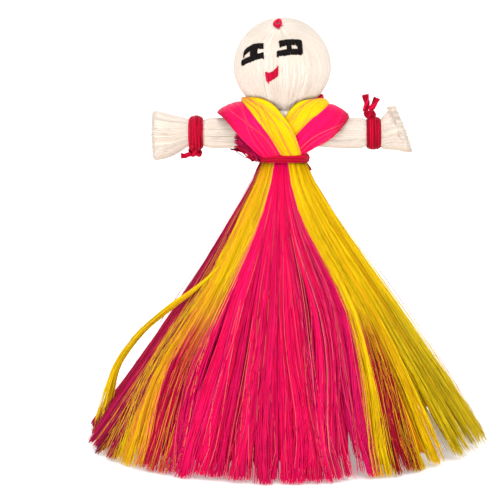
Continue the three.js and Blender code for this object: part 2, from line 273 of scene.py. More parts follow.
def linear(shade):
    """Linear colour of 8-bit sRGB shades."""
    share = np.asarray(shade, float) / 255
    return np.where(share <= 0.04045, share / 12.92, ((share + 0.055) / 1.055) ** 2.4)


DYES = {
    "pink": [(255, 4, 106), (253, 1, 97), (248, 1, 101), (255, 4, 90), (236, 1, 80), (255, 22, 128)],
    "magenta": [(236, 22, 124), (224, 14, 108), (246, 40, 132), (206, 8, 94)],
    "yellow": [(252, 214, 1), (249, 203, 0), (251, 208, 1), (245, 190, 0), (253, 221, 5)],
    "amber": [(250, 190, 8), (246, 158, 20), (251, 206, 4), (240, 134, 26), (253, 218, 4)],
    "ember": [
        (206, 4, 60), (232, 6, 78), (222, 4, 70), (150, 6, 42), (214, 4, 64), (250, 150, 14),
        (248, 186, 8),
    ],
    "dusk": [
        (168, 8, 44), (140, 4, 36), (200, 10, 52), (158, 6, 38), (130, 4, 34), (190, 20, 44),
        (242, 160, 16),
    ],
    "wine": [(176, 10, 62), (206, 6, 50), (148, 8, 54), (196, 16, 92), (118, 4, 36), (170, 14, 80)],
    "ochre": [(238, 205, 9), (225, 191, 13), (208, 177, 19), (246, 216, 7), (186, 163, 25)],
    "cream": [(234, 223, 212), (231, 218, 205), (237, 227, 217), (228, 212, 196)],
    # pale is cream lightened as painted light, for the throat that lies in the chin's shade.
    "pale": [(247, 238, 229), (243, 232, 221), (245, 235, 225)],
    "cord": [(210, 4, 54), (194, 3, 46), (220, 8, 64), (172, 2, 38), (150, 2, 32)],
    "black": [(18, 12, 12), (10, 7, 8), (26, 19, 19)],
    "crimson": [(196, 4, 54), (182, 3, 46), (210, 14, 68)],
    "salmon": [(250, 96, 120), (248, 120, 104), (244, 76, 120), (252, 150, 124)],
}
DYES = {name: linear(shades) for name, shades in DYES.items()}
UNDER_SHADE = {  # painted shade of each dye, mixed into deep fibres, lock sides, backings and cores for the shade between and behind the fibres; partly also the deeper dye of inner fibres
    "pink": linear((212, 2, 68)),
    "magenta": linear((158, 4, 52)),
    "yellow": linear((214, 130, 4)),
    "amber": linear((186, 60, 14)),
    "ember": linear((160, 6, 30)),
    "wine": linear((84, 3, 26)),
    "dusk": linear((96, 3, 26)),
    "ochre": linear((150, 122, 18)),
    "cream": linear((212, 188, 162)),
    "pale": linear((236, 220, 204)),
}


def pick(rng, dye, count, spread=0.05):
    """count colours of a dye, each a little off its shade."""
    shades = DYES[dye]
    chosen = shades[rng.integers(0, len(shades), count)]
    return chosen * (1 + spread * rng.standard_normal((count, 1)))


# ---- Mesh work ----

def unit(vectors):
    return vectors / np.maximum(np.linalg.norm(vectors, axis=-1, keepdims=True), 1e-9)


def smooth(share):
    t = np.clip(share, 0, 1)
    return t * t * (3 - 2 * t)


def mixed(a, b, share):
    return a + (b - a) * share


def bell(off, width):
    """1 where off is nought, falling to 0 on both sides."""
    return np.exp(-((off / width) ** 2))


def waves(rng, count, s, low, high):
    """A sine along each of count fibres, with low to high turns from end to end."""
    return np.sin(2 * np.pi * (rng.uniform(low, high, (count, 1)) * s + rng.random((count, 1))))


def circle(turn, first, second, radius=1):
    """Points at turns, in radians, from one direction towards another one square to it."""
    return (radius * np.cos(turn))[..., None] * first + (radius * np.sin(turn))[..., None] * second


def curve(stations, shares):
    """Points at shares from 0 to 1 of a smooth curve through rows of numbers."""
    rows = np.asarray(stations, float)
    rows = rows.reshape(len(rows), -1)
    rows = np.vstack([2 * rows[0] - rows[1], rows, 2 * rows[-1] - rows[-2]])
    place = np.clip(np.asarray(shares, float), 0, 1) * (len(rows) - 3)
    first = np.minimum(place.astype(int), len(rows) - 4)
    f = (place - first)[..., None]
    a, b, c, d = (rows[first + i] for i in range(4))
    return 0.5 * (2 * b + (c - a) * f + (2 * a - 5 * b + 4 * c - d) * f**2 + (3 * b - 3 * c + d - a) * f**3)


def frames(path):
    """Two directions square to a single path at each point, that turn with it smoothly."""
    run = unit(np.gradient(path, axis=0))
    first = np.empty_like(run)
    spare = np.eye(3)[np.argmin(np.abs(run[0]))]
    first[0] = unit(spare - spare @ run[0] * run[0])
    for i in range(1, len(run)):
        first[i] = unit(first[i - 1] - first[i - 1] @ run[i] * run[i])
    return first, np.cross(run, first)


class Piece:
    """Gathers tubes and slabs of fibre, then makes them one Blender mesh."""

    def __init__(self, name):
        self.name = name
        self.points = []
        self.tints = []
        self.grains = []
        self.corners = []
        self.sizes = []
        self.total = 0

    def add(self, points, faces, tints, grains):
        for group in faces:
            self.corners.append((group + self.total).ravel())
            self.sizes.append(np.full(len(group), group.shape[1]))
        self.points.append(points.reshape(-1, 3))
        self.tints.append(np.broadcast_to(tints, points.shape).reshape(-1, 3))
        self.grains.append(grains.reshape(-1, 3))
        self.total += points.size // 3

    def tubes(self, rng, paths, radii, tints, towards, sides=3):
        """A closed tube along each path. paths (n, k, 3); radii (n, k) or (n, k, sides), or 1 for n or k;
        tints (n, 3) or (n, k, 3); towards is any direction that no path runs along."""
        count, rings = paths.shape[:2]
        run = unit(np.gradient(paths, axis=1))
        ahead = np.broadcast_to(np.asarray(towards, float), run.shape)
        first = unit(ahead - (ahead * run).sum(-1, keepdims=True) * run)
        second = np.cross(run, first)
        turn = 2 * np.pi * np.arange(sides) / sides
        ring = circle(turn, first[:, :, None], second[:, :, None])
        radii = radii[..., None] if radii.ndim == 2 else radii
        points = paths[:, :, None] + ring * np.broadcast_to(radii, (count, rings, sides))[..., None]

        around = np.arange(sides)
        step = np.arange(rings - 1)[:, None] * sides
        a, b = step + around, step + (around + 1) % sides
        walls = np.stack([a, b, b + sides, a + sides], -1).reshape(-1, 4)
        caps = np.stack([around[::-1], around + (rings - 1) * sides])
        start = (np.arange(count) * rings * sides)[:, None, None]
        faces = [(start + walls).reshape(-1, 4), (start + caps).reshape(-1, sides)]

        tints = tints[:, None] if tints.ndim == 2 else tints
        tints = np.broadcast_to(tints, (count, rings, 3))[:, :, None]
        steps = np.linalg.norm(np.diff(paths, axis=1, prepend=paths[:, :1]), axis=-1)
        grains = np.empty((count, rings, sides, 3))
        grains[..., 0] = rng.uniform(0, 600, count)[:, None, None] + around * 0.35
        grains[..., 1] = np.cumsum(steps, axis=1)[:, :, None]
        grains[..., 2] = around
        self.add(points, faces, np.broadcast_to(tints, points.shape), grains)

    def slab(self, outer, inner, tints):
        """A closed sheet between two grids of points (nu, nv, 3); tints are spread over them."""
        nu, nv = outer.shape[:2]
        index = np.arange(nu * nv).reshape(nu, nv)
        under = index + nu * nv
        a, b, c, d = index[:-1, :-1], index[1:, :-1], index[1:, 1:], index[:-1, 1:]
        front = np.stack([a, b, c, d], -1).reshape(-1, 4)
        back = (np.stack([a, d, c, b], -1) + nu * nv).reshape(-1, 4)
        rim = np.concatenate([index[:, 0], index[-1, 1:], index[-2::-1, -1], index[0, -2::-1]])
        low = np.concatenate([under[:, 0], under[-1, 1:], under[-2::-1, -1], under[0, -2::-1]])
        walls = np.stack([rim[1:], rim[:-1], low[:-1], low[1:]], -1)
        grid = np.stack(np.meshgrid(np.arange(nu) * 0.8, np.arange(nv) * 3.0, [0, 1], indexing="ij"), -1)
        grains = np.moveaxis(grid, 2, 0)
        self.add(np.stack([outer, inner]), [front, back, walls], tints, grains)

    def make(self, material):
        """The finished object, in metres."""
        points = np.concatenate(self.points) / MM_PER_M
        corners = np.concatenate(self.corners)
        sizes = np.concatenate(self.sizes)
        mesh = bpy.data.meshes.new(self.name)
        mesh.vertices.add(len(points))
        mesh.vertices.foreach_set("co", points.astype(np.float32).ravel())
        mesh.loops.add(len(corners))
        mesh.loops.foreach_set("vertex_index", corners.astype(np.int32))
        mesh.polygons.add(len(sizes))
        starts = np.concatenate([[0], np.cumsum(sizes)[:-1]])
        mesh.polygons.foreach_set("loop_start", starts.astype(np.int32))
        mesh.update(calc_edges=True)
        mesh.polygons.foreach_set("use_smooth", np.ones(len(sizes), bool))
        tint = mesh.attributes.new("tint", "FLOAT_COLOR", "POINT")
        rgba = np.ones((len(points), 4), np.float32)
        rgba[:, :3] = np.clip(np.concatenate(self.tints), 0, 1)
        tint.data.foreach_set("color", rgba.ravel())
        grain = mesh.attributes.new("grain", "FLOAT_VECTOR", "POINT")
        grain.data.foreach_set("vector", np.concatenate(self.grains).astype(np.float32).ravel())
        mesh.materials.append(material)
        piece = bpy.data.objects.new(self.name, mesh)
        scene.collection.objects.link(piece)
        return piece


def make_piece(piece, material, node=None):
    """The finished object and in place of a CAD node where it stands for one."""
    made = piece.make(material)
    if node:
        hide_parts(node)
    return made


# ---- Skirt: its sizes, in degrees round the hem from the front towards +X ----

FIBRES_PER_DEGREE = 25
RIBBON = np.array([0.14, 0.27, 0.27])  # a fibre's half depth, and its half width
LOCK_WIDTH = 3.6
SKIRT_RINGS = 13
FIBRE_TOP = 164.0  # under the waist binding
SKIRT_BULGE = 3.6  # how far the fibres stand proud half way down
SLACK_SIDE = (-90, 38, 1.7)  # the side that hangs straight: angle, width, share of the bulge it loses
FLICKED_SIDE = (80, 16, 3.0)  # the side that flicks out at the hem: angle, width, how far
RAISED_SIDE = (-88, 14, 6)  # the side whose hem is higher: angle, width, how much
STRAY_SHARE = 0.1  # fibres that lie over the others
ODD_SHARE = 0.22  # strays of another dye
FLYING_SHARE = (0.01, 0.05)  # fibres that stand clear: in tidy locks, and where the hem is frayed
SHORT_SHARE = 0.05
SHORT_BY = 24
FRAYED_SHARE = 0.6  # the fibres that are left where the hem is frayed
LOCK_TINT = 0.25  # how much of its lock's colour a fibre takes
TONE_FADE = (0.42, 0.22)  # where the colour further up gives way: start and length, as shares
WEDGE_RISE = (0.45, 0.2)  # where the wedge comes to the front
BACKING_ROWS = 22
BACKING_SINK = (7.0, 3.4)  # how deep the backing lies at the hem and at the waist
PARTINGS = [  # where the fibres part at the hem: angle, how far they part, how high the notch runs
    (12.8, 1.5, 23), (23.5, 2.0, 19), (40, 0.6, 3), (55, 1.9, 22), (62, 1.2, 14), (68, 1.2, 12),
    (78, 1.4, 10), (-41, 0.6, 2), (-64, 0.8, 3), (-78, 1.0, 5), (104, 1.2, 5), (163, 1.0, 4),
    (-163, 1.2, 5), (-112, 1.2, 5),
]
SKIRT_ZONES = {  # the dyes across a hank: the share of its width where each ends
    "skirt_front_pink_left": [(0.05, "ember"), (1, "pink")],
    "skirt_front_pink_right": [(1, "pink")],
    "skirt_right_yellow_inner": [(0.06, "amber"), (0.96, "yellow"), (1, "ochre")],
    "skirt_right_yellow_outer": [(1, "ochre")],
    "skirt_right_side_wine": [(0.3, "ochre"), (1, "wine")],
    "skirt_back_right_yellow": [(1, "yellow")],
    "skirt_back_pink_right": [(1, "pink")],
    "skirt_back_pink_left": [(1, "pink")],
    "skirt_back_left_yellow": [(1, "yellow")],
    # The wine of the -X side hanks is partly painted shade: their darker pink stands for the side turned away
    # from the light.
    "skirt_left_side_wine": [(1, "wine")],
    "skirt_left_wine": [(1, "wine")],
    "skirt_left_yellow": [(0.4, "yellow"), (0.58, "amber"), (1, "ember")],
}
YELLOW_ABOVE = ["ochre", "amber", "ember"]  # dyes that turn yellow further up the skirt
WAIST_ANGLES = [  # the angle of the same fibre at the hem and at the waist
    (-112, -112), (-84, -88), (-56, -64), (-34, -24), (30, 13), (82, 78), (112, 112),
]
WEDGE = (36.0, 43.0)  # the dark fibres that show between yellow ones from half way down
SPARSE = (54.0, 92.0)  # the frayed ochre edge
MINGLED = [  # where another dye's fibres run among a hank's own: angles, the dye, its share
    ((-52, -32), "pink", 0.12), ((-84, -58), "amber", 0.08), (WEDGE, "dusk", 1),
    ((8, 30), "magenta", 0.25),
]
SWINGS = [  # where fibres swing aside on their way down: angle, its width, how far, where, its length
    (-48, 12, -10, 0.68, 0.2), (31, 11, 6, 0.45, 0.25), (31, 12, -4.5, 1, 0.22),
]


# ---- Skirt: its fibres ----

def wrapped(angle):
    """The same angle from -180 to 180."""
    return (angle + 180) % 360 - 180


def between(angle, limits, margin=0):
    return (angle > limits[0] + margin) & (angle < limits[1] - margin)


def skirt_radius(z, angle):
    """Radius of the skirt's outside; it goes on narrowing under the binding."""
    down = np.clip((SKIRT_TOP - z) / SKIRT_TOP, 0, 1)
    above = np.maximum(z - SKIRT_TOP, 0)
    middle, width, loss = SLACK_SIDE
    fullness = 1 - loss * bell(wrapped(angle - middle), width)
    bulge = SKIRT_BULGE * fullness * np.sin(np.pi * down**1.4)
    middle, width, far = FLICKED_SIDE
    flick = far * down**4 * bell(angle - middle, width)
    cone = SKIRT_TOP_RADIUS + (HEM_RADIUS - SKIRT_TOP_RADIUS) * down**SKIRT_FLARE
    return cone + bulge + flick - 0.35 * above


def hank_angles(node):
    """The angles that a skirt hank covers at its hem."""
    hem = node_points(node)
    hem = hem[hem[:, 2] < 1]
    middle = math.degrees(math.atan2(hem[:, 0].sum(), -hem[:, 1].sum()))
    offset = wrapped(np.degrees(np.arctan2(hem[:, 0], -hem[:, 1])) - middle)
    return middle + offset.min(), middle + offset.max()


def around(angle, radius, z):
    """Points at an angle from the front, a radius and a height."""
    a = np.radians(angle)
    return np.stack(np.broadcast_arrays(radius * np.sin(a), -radius * np.cos(a), z), -1)


def zone_of(zones, share):
    """The number of the zone that each share of a hank's width falls in."""
    return np.searchsorted([end for end, _ in zones[:-1]], share)


def parted(angle, reach=0.5):
    """How far each fibre is pushed aside at the hem, and how much higher it ends; reach is the
    notch's half width as a share of the push."""
    push, rise = np.zeros_like(angle), np.zeros_like(angle)
    for middle, width, height in PARTINGS:
        off = wrapped(angle - middle)
        push += np.sign(off) * width * bell(off, 1.6 * width)
        rise += height * bell(off, reach * width)
    return push, rise


def lay_locks(rng, zones, start, end):
    """Locks: groups of fibres that draw together towards the hem and swing a little."""
    cuts = np.linspace(start - 0.6, end + 0.6, max(3, round((end - start) / LOCK_WIDTH)) + 1)
    cuts[1:-1] += rng.uniform(-0.3, 0.3, len(cuts) - 2) * LOCK_WIDTH
    count = len(cuts) - 1
    locks = SimpleNamespace(cuts=cuts, count=count)
    locks.spread = rng.uniform(0.88, 1.2, count)
    locks.bend = rng.normal(0, 0.7, count)
    locks.swing = rng.normal(0, 2.0, (count, 1))
    locks.level = np.abs(rng.normal(0, 1.8, count))
    locks.trim = rng.uniform(0.2, 2.6, count)
    locks.shade = rng.normal(1, 0.06, count)
    zone = zone_of(zones, ((cuts[1:] + cuts[:-1]) / 2 - start) / (end - start))
    locks.tint = np.stack([pick(rng, zones[z][1], 1)[0] for z in zone])
    return locks


def lay_fibres(rng, locks, start, end):
    """Where each fibre hangs, its place in its lock, and whether it is out of the ordinary."""
    hem = rng.uniform(locks.cuts[0], locks.cuts[-1], int((end - start) * FIBRES_PER_DEGREE))
    hem = hem[~between(wrapped(hem), SPARSE) | (rng.random(len(hem)) < FRAYED_SHARE)]
    count = len(hem)
    lock = np.clip(np.searchsorted(locks.cuts, hem) - 1, 0, locks.count - 1)
    fibres = SimpleNamespace(hem=hem, turned=wrapped(hem), count=count, lock=lock)
    fibres.frayed = between(fibres.turned, SPARSE)
    fibres.wedge = between(fibres.turned, WEDGE)
    fibres.middle = (locks.cuts[lock] + locks.cuts[lock + 1]) / 2
    fibres.place = (hem - fibres.middle) / (locks.cuts[lock + 1] - locks.cuts[lock])
    fibres.depth = rng.random(count) ** 1.3
    fibres.stray = rng.random(count) < STRAY_SHARE
    fibres.flying = rng.random(count) < np.where(fibres.frayed, FLYING_SHARE[1], FLYING_SHARE[0])
    fibres.apart = fibres.stray | fibres.flying
    fibres.share = np.clip((hem - start) / (end - start), 0, 1)
    return fibres


def fibre_feet(rng, fibres, locks):
    """Each fibre's angle and height at its foot, and how far a parting pushes it aside."""
    count, lock = fibres.count, fibres.lock
    foot = fibres.middle + (fibres.hem - fibres.middle) * locks.spread[lock] + locks.bend[lock]
    foot = foot + rng.normal(0, 0.35, count)
    foot = np.where(fibres.stray, foot + rng.normal(0, 2.4, count), foot)
    foot = np.where(fibres.flying | fibres.frayed, foot + rng.normal(0, 1.6, count), foot)
    push, rise = parted(foot)
    z = locks.trim[lock] + rng.exponential(0.8, count) + rise + 1.5 * fibres.depth
    z = np.where(rng.random(count) < SHORT_SHARE, z + rng.uniform(0, SHORT_BY, count), z)
    z = np.where(fibres.frayed, z + rng.exponential(5, count), z)
    middle, width, height = RAISED_SIDE
    z = z + height * bell(fibres.turned - middle, width)
    return foot, np.maximum(z, 0.4), push


def fibre_paths(rng, fibres, locks, s):
    """Each fibre's path from under the waist binding to its foot, and the way outwards."""
    count, lock, turned = fibres.count, fibres.lock, fibres.turned
    hem_angles, top_angles = np.array(WAIST_ANGLES, float).T
    top = fibres.hem + np.interp(turned, hem_angles, top_angles - hem_angles, left=0, right=0)
    foot, foot_z, push = fibre_feet(rng, fibres, locks)
    z = FIBRE_TOP + (foot_z[:, None] - FIBRE_TOP) * s
    wave = rng.normal(0, 0.75, (count, 1)) * waves(rng, count, s, 0.7, 3.0)
    wave = wave + (locks.swing * waves(rng, locks.count, s, 0.5, 1.5))[lock]
    angle = mixed(top[:, None], foot[:, None], smooth(s / 0.5)) + wave * s
    angle = angle + push[:, None] * smooth((s - 0.6) / 0.4)
    for middle, width, far, where, length in SWINGS:
        angle = angle + (far * bell(turned - middle, width))[:, None] * bell(s - where, length)

    inset = RIBBON[0] - 0.8 * s + fibres.depth[:, None] * mixed(2.2, 5.2, s)
    rounding = (2 * fibres.place[:, None]) ** 2 * 0.9
    inset = inset + (rounding + locks.level[lock][:, None]) * smooth(s * 1.4)
    inset = inset + rng.normal(0, 0.35, (count, 1)) * waves(rng, count, s, 1, 3) * smooth(s * 3)
    inset = np.where(fibres.stray[:, None], 0.3 + inset * 0.15, inset)
    risen = smooth((s - WEDGE_RISE[0]) / WEDGE_RISE[1])
    inset = np.where(fibres.wedge[:, None], inset * (1 - 0.6 * risen), inset)
    clear = rng.uniform(0.8, 4.5, (count, 1))
    bow = clear * np.sin(np.pi * np.clip(s * rng.uniform(0.7, 1, (count, 1)), 0, 1))
    inset = np.where(fibres.flying[:, None], -bow, inset)
    return around(angle, skirt_radius(z, angle) - inset, z), around(angle, 1, 0)


def dyed(rng, zones, fibres):
    """Each fibre's own colour, the painted shade that it is mixed towards when deep, and the colour it has
    further up.
    """
    count = fibres.count
    zone = zone_of(zones, fibres.share + rng.normal(0, 0.025, count))
    own = np.stack([pick(rng, dye, count) for _, dye in zones])[zone, np.arange(count)]
    under = np.stack([UNDER_SHADE[dye] for _, dye in zones])[zone]
    for limits, dye, part in MINGLED:
        swap = (between(fibres.turned, limits) & (rng.random(count) < part))[:, None]
        own = np.where(swap, pick(rng, dye, count), own)
        under = np.where(swap, UNDER_SHADE[dye], under)
    yellowed = np.isin(np.array([dye for _, dye in zones])[zone], YELLOW_ABOVE) | fibres.wedge
    upper = np.where(yellowed[:, None], pick(rng, "yellow", count), own)
    return own, under, upper


def fibre_tints(rng, fibres, locks, zones, odd, s):
    """Each fibre's colour along its length; deep fibres and fibres at a lock's sides get painted shade, and
    odd is the dye that some strays have."""
    own, under, upper = dyed(rng, zones, fibres)
    shared = np.where(fibres.wedge, 0, LOCK_TINT)[:, None]
    tint = mixed(own, locks.tint[fibres.lock], shared) * locks.shade[fibres.lock][:, None]
    swap = fibres.stray[:, None] & (rng.random((fibres.count, 1)) < ODD_SHARE)
    tint = np.where(swap, pick(rng, odd, fibres.count), tint)
    # Painted shade: deep fibres and fibres at a lock's sides are mixed towards the shade under them.
    sunk = smooth((fibres.depth - 0.35) / 0.65) * 0.62 + 0.1 * (2 * np.abs(fibres.place)) ** 3
    sunk = np.where(fibres.apart, 0, sunk)
    tint = mixed(tint, under, np.clip(sunk, 0, 1)[:, None])
    tints = tint[:, None] * (1 - 0.06 * smooth(s * 1.1 - 0.1))[..., None]
    kept = 1 - smooth((s - TONE_FADE[0]) / TONE_FADE[1])
    return tints + (upper - own)[:, None] * kept[..., None]


def skirt_backing(rng, piece, zones, start, end):
    """A ribbed backing of inner fibres, with a torn lower edge; its colour is the under shade, partly the
    deeper dye of inner fibres and partly painted shade that darkens the gaps between locks.
    """
    columns = int((end - start) / 0.5)
    ribs = columns // 2 + 1
    u = np.linspace(start, end, columns)[:, None]
    torn = np.repeat(rng.uniform(5, 13, ribs), 2)[:columns, None]
    torn = np.maximum(torn, 1.3 * parted(u, 1.6)[1] + 4)
    torn = np.where(between(wrapped(u), SPARSE, 2), torn + 15, torn)
    v = np.linspace(0, 1, BACKING_ROWS)[None]
    z = mixed(torn, FIBRE_TOP, v)
    rib = np.repeat(rng.uniform(0, 0.9, ribs), 2)[:columns, None]
    radius = skirt_radius(z, u) - mixed(*BACKING_SINK, v) - rib * (1 - v)
    zone = zone_of(zones, (u[:, 0] - start) / (end - start))
    tint = np.stack([UNDER_SHADE[dye] for _, dye in zones])[zone][:, None]
    tint = tint * rng.uniform(0.7, 1.15, (columns, 1, 1))
    piece.slab(around(u, radius, z), around(u, radius - 1.0, z), tint)


def skirt_hank(node, seed):
    rng = np.random.default_rng(seed)
    start, end = hank_angles(node)
    zones = SKIRT_ZONES[node]
    dye = [dye for dye in ("pink", "yellow", "wine") if dye in node][0]
    s = np.linspace(0, 1, SKIRT_RINGS)[None]
    piece = Piece(node + "_fibres")
    locks = lay_locks(rng, zones, start, end)
    fibres = lay_fibres(rng, locks, start, end)
    paths, outwards = fibre_paths(rng, fibres, locks, s)
    tints = fibre_tints(rng, fibres, locks, zones, "salmon" if dye == "pink" else "amber", s)
    scale = mixed(0.5, 1, smooth(s * 1.5)) * np.where(s > 0.97, 0.7, 1)
    scale = scale * rng.uniform(0.75, 1.25, (fibres.count, 1))
    scale = np.where(fibres.apart[:, None], scale * 0.55, scale)
    piece.tubes(rng, paths, scale[..., None] * RIBBON, tints, outwards)
    skirt_backing(rng, piece, zones, start, end)
    made = make_piece(piece, SILK, node)
    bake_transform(made)


LOOSE_LOCK = [  # a lock that hangs clear of the skirt on the doll's -X side
    (-31, -26, 112), (-40, -28.5, 101), (-51, -26, 91), (-63.5, -20, 81), (-83, -13, 63), (-95, -10, 46),
    (-100, -9, 31), (-103, -10, 18), (-106, -12, 4),
]


def loose_lock():
    rng = np.random.default_rng(19)
    piece = Piece("skirt_loose_lock_fibres")
    count = 70
    s = np.linspace(0, 1, 30)[None]
    path = curve(LOOSE_LOCK, s[0])
    wide = 0.5 + 1.2 * smooth(s * 2.5) + 3.2 * smooth((s - 0.6) / 0.4)
    turn = rng.uniform(0, 2 * np.pi, (count, 1)) + rng.normal(0, 0.6, (count, 1)) * s
    out = np.sqrt(rng.random((count, 1))) * wide + 0.4 * waves(rng, count, s, 1, 3) * smooth(s * 2)
    paths = path + out[..., None] * circle(turn, *frames(path))
    paths[..., 2] = np.maximum(paths[..., 2], 0.5)
    tints = mixed(pick(rng, "amber", count), pick(rng, "ochre", count), rng.random((count, 1)))
    piece.tubes(rng, paths, 0.24 * rng.uniform(0.8, 1.3, (count, 1)), tints, (0, 1, 0))
    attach(make_piece(piece, SILK), "skirt")


# ---- Sashes ----

SASH_RIBBON = np.array([0.1, 0.2, 0.2])
SASH_FIBRES = 430
SASH_ENDS = {  # an edge's stations from the front of the waist up, and down to its back
    "neck": (
        [(-8.6, -6.8, 164.4), (-9.4, -8.2, 169), (-7, -14.6, 179)],
        [(18, 12.4, 194.8), (5, 17, 184), (-9.4, 7.4, 169), (-8.6, 6.6, 164.4)],
    ),
    "seam": (
        [(1.2, -11.2, 164.4), (1.4, -12.4, 169)],
        [(14, 16, 182), (1.4, 12, 169), (1.2, 11, 164.4)],
    ),
    "shoulder": ([(10.4, -4, 164.4)], [(11.3, 4.3, 169), (10.4, 4, 164.4)]),
}
SASH_OVER = {  # the stations between those, over the shoulder
    "right neck": [(0.4, -18.4, 186.8), (5.6, -20.6, 194.4), (13.8, -18.2, 199.2), (21.6, -3, 198.8)],
    "right seam": [
        (7.8, -16, 179), (15, -17.6, 186.8), (21.4, -16, 192), (25.2, -10, 195), (26.6, 0, 195.8),
        (24.5, 11, 192.4),
    ],
    "right shoulder": [
        (14.4, -7.4, 168), (23.5, -12.5, 173.6), (30.6, -13.6, 179.4), (35.2, -10.6, 184.6),
        (37.6, -5, 187.8), (38, 1.5, 188.8), (35.4, 8.5, 186.6), (25, 13.5, 178),
    ],
    "left neck": [(-2.2, -17.6, 187.6), (5.6, -20.8, 196.4), (15.4, -18.4, 200.2), (21.8, -3, 199.2)],
    "left seam": [
        (7.5, -16.2, 179.6), (12.6, -18, 186), (18, -17.4, 192), (22.2, -10.6, 196), (24, 0, 196.8),
        (23, 11.5, 193),
    ],
    "left shoulder": [
        (11.6, -5.6, 167.6), (18.5, -11.5, 173.8), (26.6, -13.6, 181.4), (32.6, -11.4, 186.8),
        (36.6, -5.6, 190), (38, 1, 190.8), (35.2, 8.5, 188.6), (25, 13.5, 179),
    ],
}
SASH_LIFT = [0.6, 3.6, 4.4, 3.6, 1.2, 0.6, 0.3, 0.8, 5, 4.7, 0.6]  # the upper sash clears the lower one
SASH_CROWN = [0.6, 1.3, 1.3, 1.1, 0.9, 0.8, 0.8, 0.9, 1.2, 1.3, 0.6]
SASH_BODY = 2.0  # thickness that the fibres of a strip fill
SASH_CORE = 1.3  # thickness of the ridged core under them
SHOULDER_PINK = linear((190, 2, 44))  # deeper at the shoulder's edge


def sash_place(side, edges, u, v, depth):
    """Points of a strip at shares u across and v along it, sunk by depth, and its normals."""
    across = {"neck": ("neck", "seam"), "seam": ("neck", "shoulder"), "shoulder": ("seam", "shoulder")}
    stations = {
        name: rise + SASH_OVER[side + " " + name] + fall for name, (rise, fall) in SASH_ENDS.items()
    }
    spots, normals = [], []
    for edge in edges:
        near, far = (curve(stations[name], v) for name in across[edge])
        step = curve(stations[edge], v + 0.01) - curve(stations[edge], v - 0.01)
        spots.append(curve(stations[edge], v))
        normals.append(unit(np.cross(far - near, step)))
    u = u[..., None]
    normal = mixed(normals[0], normals[1], u)
    normal[..., 2] *= np.minimum(1, np.minimum(8 * v, 8 * (1 - v)))
    normal = unit(normal)
    lift = curve(SASH_LIFT, v) if side == "left" else 0
    crown = 4 * u * (1 - u) * curve(SASH_CROWN, v)
    points = mixed(spots[0], spots[1], u) + normal * (lift + crown - depth[..., None])
    flip = np.array([-1 if side == "left" else 1, 1, 1])
    return points * flip, normal * flip


def sash(side, edges, dye, seed):
    """One strip of a sash: a flat hank between two of its edges."""
    rng = np.random.default_rng(seed)
    node = side + "_" + dye + "_sash"
    piece = Piece(node + "_fibres")
    count = SASH_FIBRES
    v = np.linspace(0, 1, 40)[None] * np.ones((count, 1))
    level = rng.random(count) ** 4
    u = rng.uniform(0, 1, (count, 1)) + 0.02 * rng.normal(0, 1, (count, 1)) * waves(rng, count, v, 0.5, 1.5)
    loose = rng.random(count) < 0.018
    u = np.where(loose[:, None], u + rng.normal(0, 0.25, (count, 1)) * np.sin(np.pi * 3 * v), u)
    u = np.clip(u, 0.004, 0.996)
    edge = (2 * u - 1) ** 6
    sunk = level[:, None] * SASH_BODY + 0.7 * edge + 0.06 * waves(rng, count, v, 1, 3)
    sunk = np.where(loose[:, None], -0.22, sunk)
    paths, normals = sash_place(side, edges, u, v, sunk)
    tint = pick(rng, dye, count)
    tint = np.where(loose[:, None] & (rng.random((count, 1)) < 0.7), pick(rng, "salmon", count), tint)
    # Painted shade: fibres that lie deeper in the strip are mixed towards the under shade.
    tint = mixed(tint, UNDER_SHADE[dye], (0.5 * level)[:, None])[:, None]
    if dye == "pink":
        outer = smooth((u - 0.45) * 1.6) * smooth((v - 0.2) * 5)
        tint = mixed(tint, SHOULDER_PINK, 0.75 * outer[..., None])
        # Painted shadow: over the shoulder and down the back, the pink strip is mixed towards wine for the
        # shade there.
        back_shade = smooth((v - 0.6) / 0.12)[..., None]
        tint = mixed(tint, pick(rng, "wine", count)[:, None], 0.65 * back_shade)
    scale = rng.uniform(0.7, 1.2, (count, 1, 1)) * np.where(loose, 0.55, 1)[:, None, None]
    piece.tubes(rng, paths, scale * SASH_RIBBON, tint, normals)

    u, v = np.meshgrid(np.linspace(0.02, 0.98, 24), np.linspace(0, 1, 80), indexing="ij")
    ridge = rng.uniform(0, 0.1, (len(u), 1)) + 0.2 + 0.7 * (2 * u - 1) ** 6
    faces = [sash_place(side, edges, u, v, ridge + depth)[0] for depth in (0, SASH_CORE)]
    if side == "left":
        faces.reverse()
    # Painted shade: the ridged core under the fibres is mixed towards the under shade.
    piece.slab(*faces, mixed(DYES[dye][0], UNDER_SHADE[dye], 0.3))
    made = make_piece(piece, SILK, node)
    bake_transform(made)


LOOSE_ENDS = [  # boxes that loose ends of the sashes hang from and reach down to, and how many
    ((-31, 2, 168), (-12, 11, 180), (-18, -3, 163), (-8, 7, 168), 380),
    ((-28, -9.6, 171), (-20, -8.8, 179), (-18, -9, 162.5), (-10.5, -6, 167), 200),
]


